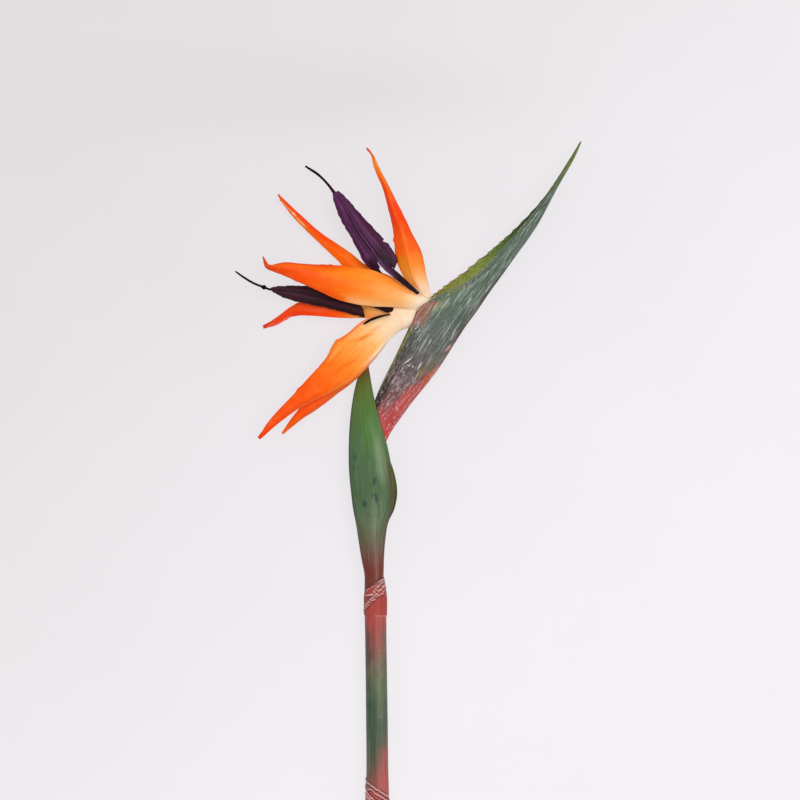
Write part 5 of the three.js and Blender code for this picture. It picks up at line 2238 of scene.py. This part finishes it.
STEM_BRACT = Bract(
    "stem_bract",
    "bract",
    StemBractShape(
        rail((-24.9, -18.4, -1.2), (-24.9, -9.5, -1), (-24.8, 3, -0.8), (-26.8, 15, -0.6), (-29.3, 31, -0.4),
            (-30.9, 39, -0.3), (-32.1, 48.5, -0.2), (-33.2, 60.5, 0), (-33.3, 74, 0), (-32.5, 88, -0.8),
            (-30.5, 102.5, -3), (-27.8, 113.5, -4.8), (-24, 126, -6)),
        rail((-12, -18.4, -1.1), (-12, -9.5, -0.9), (-13.6, 3, -0.7), (-13.5, 15, -0.4), (-11.5, 31, 0.3),
            (-9.0, 38.6, 1.6), (-7.9, 48, 3), (-9.2, 60.5, 4), (-11.8, 74, 5.5), (-16, 88, 7.2),
            (-19.5, 102.5, 1), (-21.5, 113.5, -3), (-23.5, 126, -5.5)),
        rail((-12, -18.4, -1.3), (-12, -9.5, -1.1), (-13.6, 3, -0.9), (-13.5, 15, -0.8), (-11.4, 31, -1),
            (-7.8, 39.3, -2), (-6.3, 48.4, -2.8), (-8.4, 60.5, -3.6), (-14.4, 74, -6.4), (-24, 88, -6.4),
            (-26, 102.5, -5.4), (-25.5, 113.5, -6), (-23.5, 126, -6.5)),
        profile(6.1, 6.1, 5.1, 5.7, 6.6, 7, 7.2, 7.4, 7.4, 6.9, 3.6, 2, 0.9),
        profile(1, 1, 1, 1, 0.9, 0.85, 0.8, 0.8, 0.8, 0.7, 0.7, 0.6, 0.5),
        seed=31,
    ),
    BractFinish(
        (
            (0, (174, 78, 74)), (0.12, (172, 76, 72)), (0.16, (126, 68, 62)), (0.24, (114, 80, 70)),
            (0.275, (106, 96, 78)), (0.33, (102, 112, 86)), (0.41, (92, 114, 84)), (0.485, (84, 108, 76)),
            (0.62, (84, 112, 76)), (0.7, (86, 120, 70)), (0.8, (94, 124, 68)), (0.88, (100, 116, 64)),
            (0.94, (102, 90, 56)), (1, (104, 74, 52)),
        ),
        washes=(
            Wash(-22.3, 84, 18, 3.6, 88, (86, 126, 64), 0.7),
            # Painted sheen: pale grey-green streaks at the left, right of the middle and low in the middle.
            Wash(-28.4, 72, 32, 2.6, 90, (94, 116, 90), 0.5),
            Wash(-16.8, 68, 24, 3.6, 100, (134, 158, 116), 0.75, 1),
            Wash(-19.8, 34, 24, 3, 90, (124, 136, 112), 0.6, 1),
            Wash(-17.8, 12, 20, 2, 92, (146, 108, 100), 0.6, 1),
            Wash(-28.4, 33, 18, 2, 104, (74, 92, 64), 0.7),
            Wash(-19.9, 108, 13, 1.4, 108, (116, 82, 56), 0.8),
            # Painted shade: the dark notch under the end of the near margin's lip, where it overlaps.
            Wash(-9.9, 36.6, 2.6, 1.3, 40, (40, 42, 30), 0.85),
            Wash(-14.4, 70, 14, 1.2, 104, (132, 122, 92), 0.55),
        ),
        bands=(
            Band((0.18, 0.92), (0.462, 0.5), (42, 62, 40), 0.85, (0.05, 0.03)),
            Band((0, 0.3), (0.44, 0.5), (84, 38, 36), 0.7, (0.03, 0.05)),
            Band((0, 0.16), (0, 0.04), (112, 52, 48), 0.6, (0.04, 0.04)),
            Band((0.2, 0.42), (0, 0.06), (92, 50, 44), 0.7, (0.04, 0.04)),
            Band((0.43, 0.58), (0, 0.07), (98, 78, 58), 0.8, (0.05, 0.08)),
            Band((0.42, 1), (0, 0.016), (98, 62, 48), 0.85, (0.03, 0.012)),
        ),
        marks=(
            Wash(-18.9, 54.2, 3.8, 1.6, 70, (52, 72, 70), 0.85, 0.9),
            Wash(-20.6, 46.8, 2.2, 1.6, 60, (62, 84, 80), 0.6, 0.9),
            Wash(-17.9, 45.8, 4.2, 1.7, 100, (52, 72, 70), 0.85, 0.9),
            Wash(-16.6, 40.6, 2.2, 1.2, 70, (60, 82, 78), 0.6, 0.9),
            Wash(-25.6, 42.6, 3, 1.6, 75, (52, 74, 68), 0.85, 0.9),
            Wash(-23.2, 36.6, 1.8, 1, 100, (62, 82, 74), 0.5, 0.9),
            Wash(-29.8, 68, 4, 2, 90, (64, 84, 72), 0.6, 0.9),
            Wash(-30.6, 61.5, 2.2, 1.3, 80, (62, 82, 72), 0.5, 0.9),
        ),
        streak=(164, 178, 160),
        streak_strength=0.2,
        streak_pitch=60.0,
        streak_run=9.0,
        fibre_shade=0.16,
        wobble=0.7,
        grain=0.08,
    ),
    LiningFinish(((0, (112, 60, 52)), (0.36, (70, 78, 48)), (0.44, (116, 146, 74)), (0.62, (126, 156, 76)),
                  (1, (96, 104, 60))), (84, 110, 58)),
    LiningFinish(((0, (206, 148, 140)), (0.06, (150, 70, 60)), (0.4, (66, 50, 42)), (0.55, (84, 92, 52)),
                  (1, (92, 66, 48))), (60, 50, 40)),
    1.1,
    276,
    34,
)

SPATHE = Bract(
    "spathe",
    "spathe",
    Folded(
        rail((-14.6, 55, 0), (-12.8, 75, 0), (-1.3, 93.4, 0), (15.9, 115.3, 0), (30.6, 138, 0),
            (37.5, 147.5, 0), (44.2, 157.4, 0), (57, 175.3, 0), (70.6, 194.8, 0), (81.6, 215.4, 0),
            (91, 232, 0), (95, 241, 0)),
        rail((-25, 55, 0.4), (-23.4, 79, 0.4), (-18.4, 100.4, 0.5), (-7.2, 123.8, 2.6), (1.5, 141, 7),
            (5.1, 148.9, 7.4), (12.6, 154.9, 6.6), (34, 165.7, 4), (54, 185.8, 2.4), (73.2, 208.4, 1.5),
            (88.7, 231.5, 0.8), (94.3, 241.3, 0.4)),
        rail((-25, 55, -0.4), (-23.4, 79, -0.4), (-18.4, 100.4, -0.5), (-7.2, 124.3, -2.6), (1, 142, -7),
            (4.5, 151, -7.4), (12.5, 157, -6.6), (31.2, 170.8, -4), (52.2, 188, -2.4), (73, 209.2, -1.5),
            (88.4, 231.8, -0.8), (94.2, 241.4, -0.4)),
        profile(5.1, 5.3, 7, 9.6, 10.4, 10.55, 10.5, 9.2, 7.1, 4.7, 2.2, 0.8),
        profile(1, 0.9, 0.75, 0.6, 0.5, 0.5, 0.5, 0.45, 0.4, 0.4, 0.4, 0.4),
        teeth=2.4,
        teeth_from=0.5,
        teeth_to=0.88,
        tooth_count=53,
        seed=41,
    ),
    BractFinish(
        (
            (0, (212, 88, 84)), (0.13, (206, 84, 82)), (0.18, (134, 84, 88)), (0.25, (98, 86, 86)),
            (0.32, (96, 100, 94)), (0.4, (94, 106, 96)), (0.52, (96, 112, 96)), (0.68, (94, 112, 96)),
            (0.8, (84, 104, 82)), (0.86, (92, 112, 68)), (0.91, (110, 130, 50)), (1, (114, 130, 46)),
        ),
        washes=(
            Wash(-14.2, 103, 17, 4, 64, (66, 58, 62), 0.65),
            Wash(2.6, 98.2, 23, 9.2, 47, (198, 76, 72), 0.95, 0.5),
            Wash(12.4, 111.6, 12, 3.8, 48, (208, 92, 54), 0.9, 0.7),
            Wash(7.2, 114.4, 5.5, 2.4, 42, (132, 104, 52), 0.85),
            Wash(13.5, 119, 9, 3.6, 50, (130, 122, 104), 0.6),
            Wash(23.5, 130, 9, 2.6, 52, (104, 86, 80), 0.6),
            Wash(-5.2, 128, 16, 3.2, 62, (106, 116, 76), 0.65),
            Wash(15.8, 150.6, 7, 3.4, 32, (138, 142, 104), 0.8),
            Wash(25, 158.6, 12, 2.4, 34, (116, 130, 76), 0.75),
        ),
        bands=(
            Band((0.1, 0.2), (0, 0.1), (34, 28, 30), 0.95, (0.05, 0.07)),
            Band((0.2, 0.34), (0, 0.04), (118, 128, 54), 0.9, (0.04, 0.04)),
            Band((0.18, 0.32), (0.06, 0.12), (60, 58, 54), 0.5, (0.05, 0.05)),
            Band((0.36, 0.5), (0.02, 0.12), (162, 108, 90), 0.9, (0.03, 0.05)),
            Band((0.35, 0.5), (0, 0.022), (168, 66, 66), 0.95, (0.015, 0.018)),
            Band((0.52, 0.66), (0, 0.01), (190, 196, 156), 0.85, (0.03, 0.008)),
            Band((0.1, 0.34), (0.475, 0.5), (158, 56, 54), 0.7),
            Band((0.33, 0.6), (0.462, 0.5), (88, 48, 48), 0.85, (0.05, 0.03)),
            Band((0.58, 0.92), (0.462, 0.5), (36, 50, 38), 0.9, (0.05, 0.025)),
        ),
        marks=(Wash(20.9, 127.8, 3.4, 0.9, 48, (216, 156, 142), 0.9, 0.6),),
        scrape=Wash(-0.6, 115.6, 5.6, 3, 52, (255, 255, 255), 0.85, 0.5),
        flecks=(
            Band((0.06, 0.24), (0, 0.5), (232, 200, 202), 0.42),
            Band((0.24, 0.4), (0, 0.5), (200, 200, 202), 0.15, (0.06, 0.02)),
            Band((0.12, 0.42), (0, 0.5), (48, 36, 40), 0.25),
            Band((0.34, 0.37), (0, 0.12), (226, 214, 220), 0.8, (0.012, 0.05)),
            Band((0.36, 0.5), (0, 0.04), (214, 176, 166), 0.7, (0.02, 0.03)),
            Band((0.49, 0.54), (0, 0.05), (222, 224, 214), 0.8, (0.02, 0.03)),
            Band((0.4, 0.95), (0, 0.5), (30, 44, 38), 0.4),
        ),
        strokes=(
            Wash(-0.7, 120.4, 3.9, 0.42, 37, (216, 222, 216), 0.9, 0.6),
            Wash(5.8, 117.7, 3.4, 0.38, 59, (228, 230, 224), 0.9, 0.6),
            Wash(11.5, 130.9, 2.3, 0.34, 62, (214, 222, 216), 0.8, 0.6),
            Wash(23.9, 134.2, 3.6, 0.34, 62, (206, 216, 212), 0.75, 0.6),
            Wash(43.6, 160.8, 6.5, 0.45, 57, (196, 212, 210), 0.7, 0.8),
            Wash(37.6, 152.6, 4.5, 0.4, 57, (190, 206, 202), 0.6, 0.8),
            Wash(83.6, 214.5, 1.6, 0.3, 62, (226, 230, 222), 0.8, 0.6),
            Wash(79.2, 207.5, 3, 0.35, 60, (190, 204, 196), 0.7, 0.8),
        ),
        streak_limits=(0.12, 0.98),
        streak_strength=0.6,
        fibre_shade=0.28,
        lay=57.0,
    ),
    # Painted light: the lining is made lighter than its own colour, to offset the shadow that the near wall
    # casts into it.
    LiningFinish(
        (
            (0, (140, 80, 70)), (0.47, (170, 130, 76)), (0.5, (226, 176, 96)), (0.53, (212, 202, 116)),
            (0.6, (194, 208, 122)), (0.68, (174, 198, 124)), (0.74, (142, 172, 112)), (0.82, (104, 136, 80)),
            (1, (96, 120, 60)),
        ),
        (120, 136, 50), 0.6, 90.0,
    ),
    LiningFinish(
        ((0, (120, 60, 56)), (0.48, (170, 84, 60)), (0.6, (150, 84, 48)), (0.75, (92, 84, 44)),
         (1, (70, 80, 40))),
        (110, 40, 30), 0.7, 160.0,
    ),
    1.25,
    350,
    32,
)


@dataclass(frozen=True)
class Ovary:
    """The cream foot of one flower, inside the spathe."""

    node: str
    shape: Tube
    rows: int = 60
    columns: int = 32

    def build(self) -> None:
        """Draws the ovary and dresses it."""
        piece = tube_piece(self.shape, self.node + "_foot", self.rows, self.columns)
        dress(piece, [FleshFinish((250, 232, 200), (246, 218, 172)).material(self.node + "_flesh")])
        soften(piece)
        put(piece, self.node)


UPPER_OVARY = Ovary(
    "upper_ovary",
    Tube(rail((-1.2, 106, 2.7), (13, 125, 2.2), (20, 139, 0.8), (18, 148, 0.3), (11.5, 153, 0)),
         profile(2.3, 2.9, 3.9, 4.3, 3.6), cap=0.06),
)

LOWER_OVARY = Ovary(
    "lower_ovary",
    Tube(rail((-1.8, 106.4, -2.7), (3, 121.5, -2.8), (9, 132, -0.8), (6.5, 139, -0.3), (1, 142.5, 0)),
         profile(2.3, 2.9, 3.6, 4.1, 3.6), cap=0.06),
)

OVARIES: tuple[Ovary, ...] = (UPPER_OVARY, LOWER_OVARY)


def main() -> None:
    """Builds the flower and its studio, in order."""
    logging.basicConfig(level=logging.INFO, format="%(name)s: %(message)s")
    Camera().build()
    Studio().build()
    Stem().build()
    STEM_BRACT.build()
    SPATHE.build()
    for ovary in OVARIES:
        ovary.build()
    for petal in SEPALS:
        petal.build()
    for tongue in TONGUES:
        tongue.build()
    for thread in THREADS:
        thread.build()


if __name__ == "__main__":
    main()
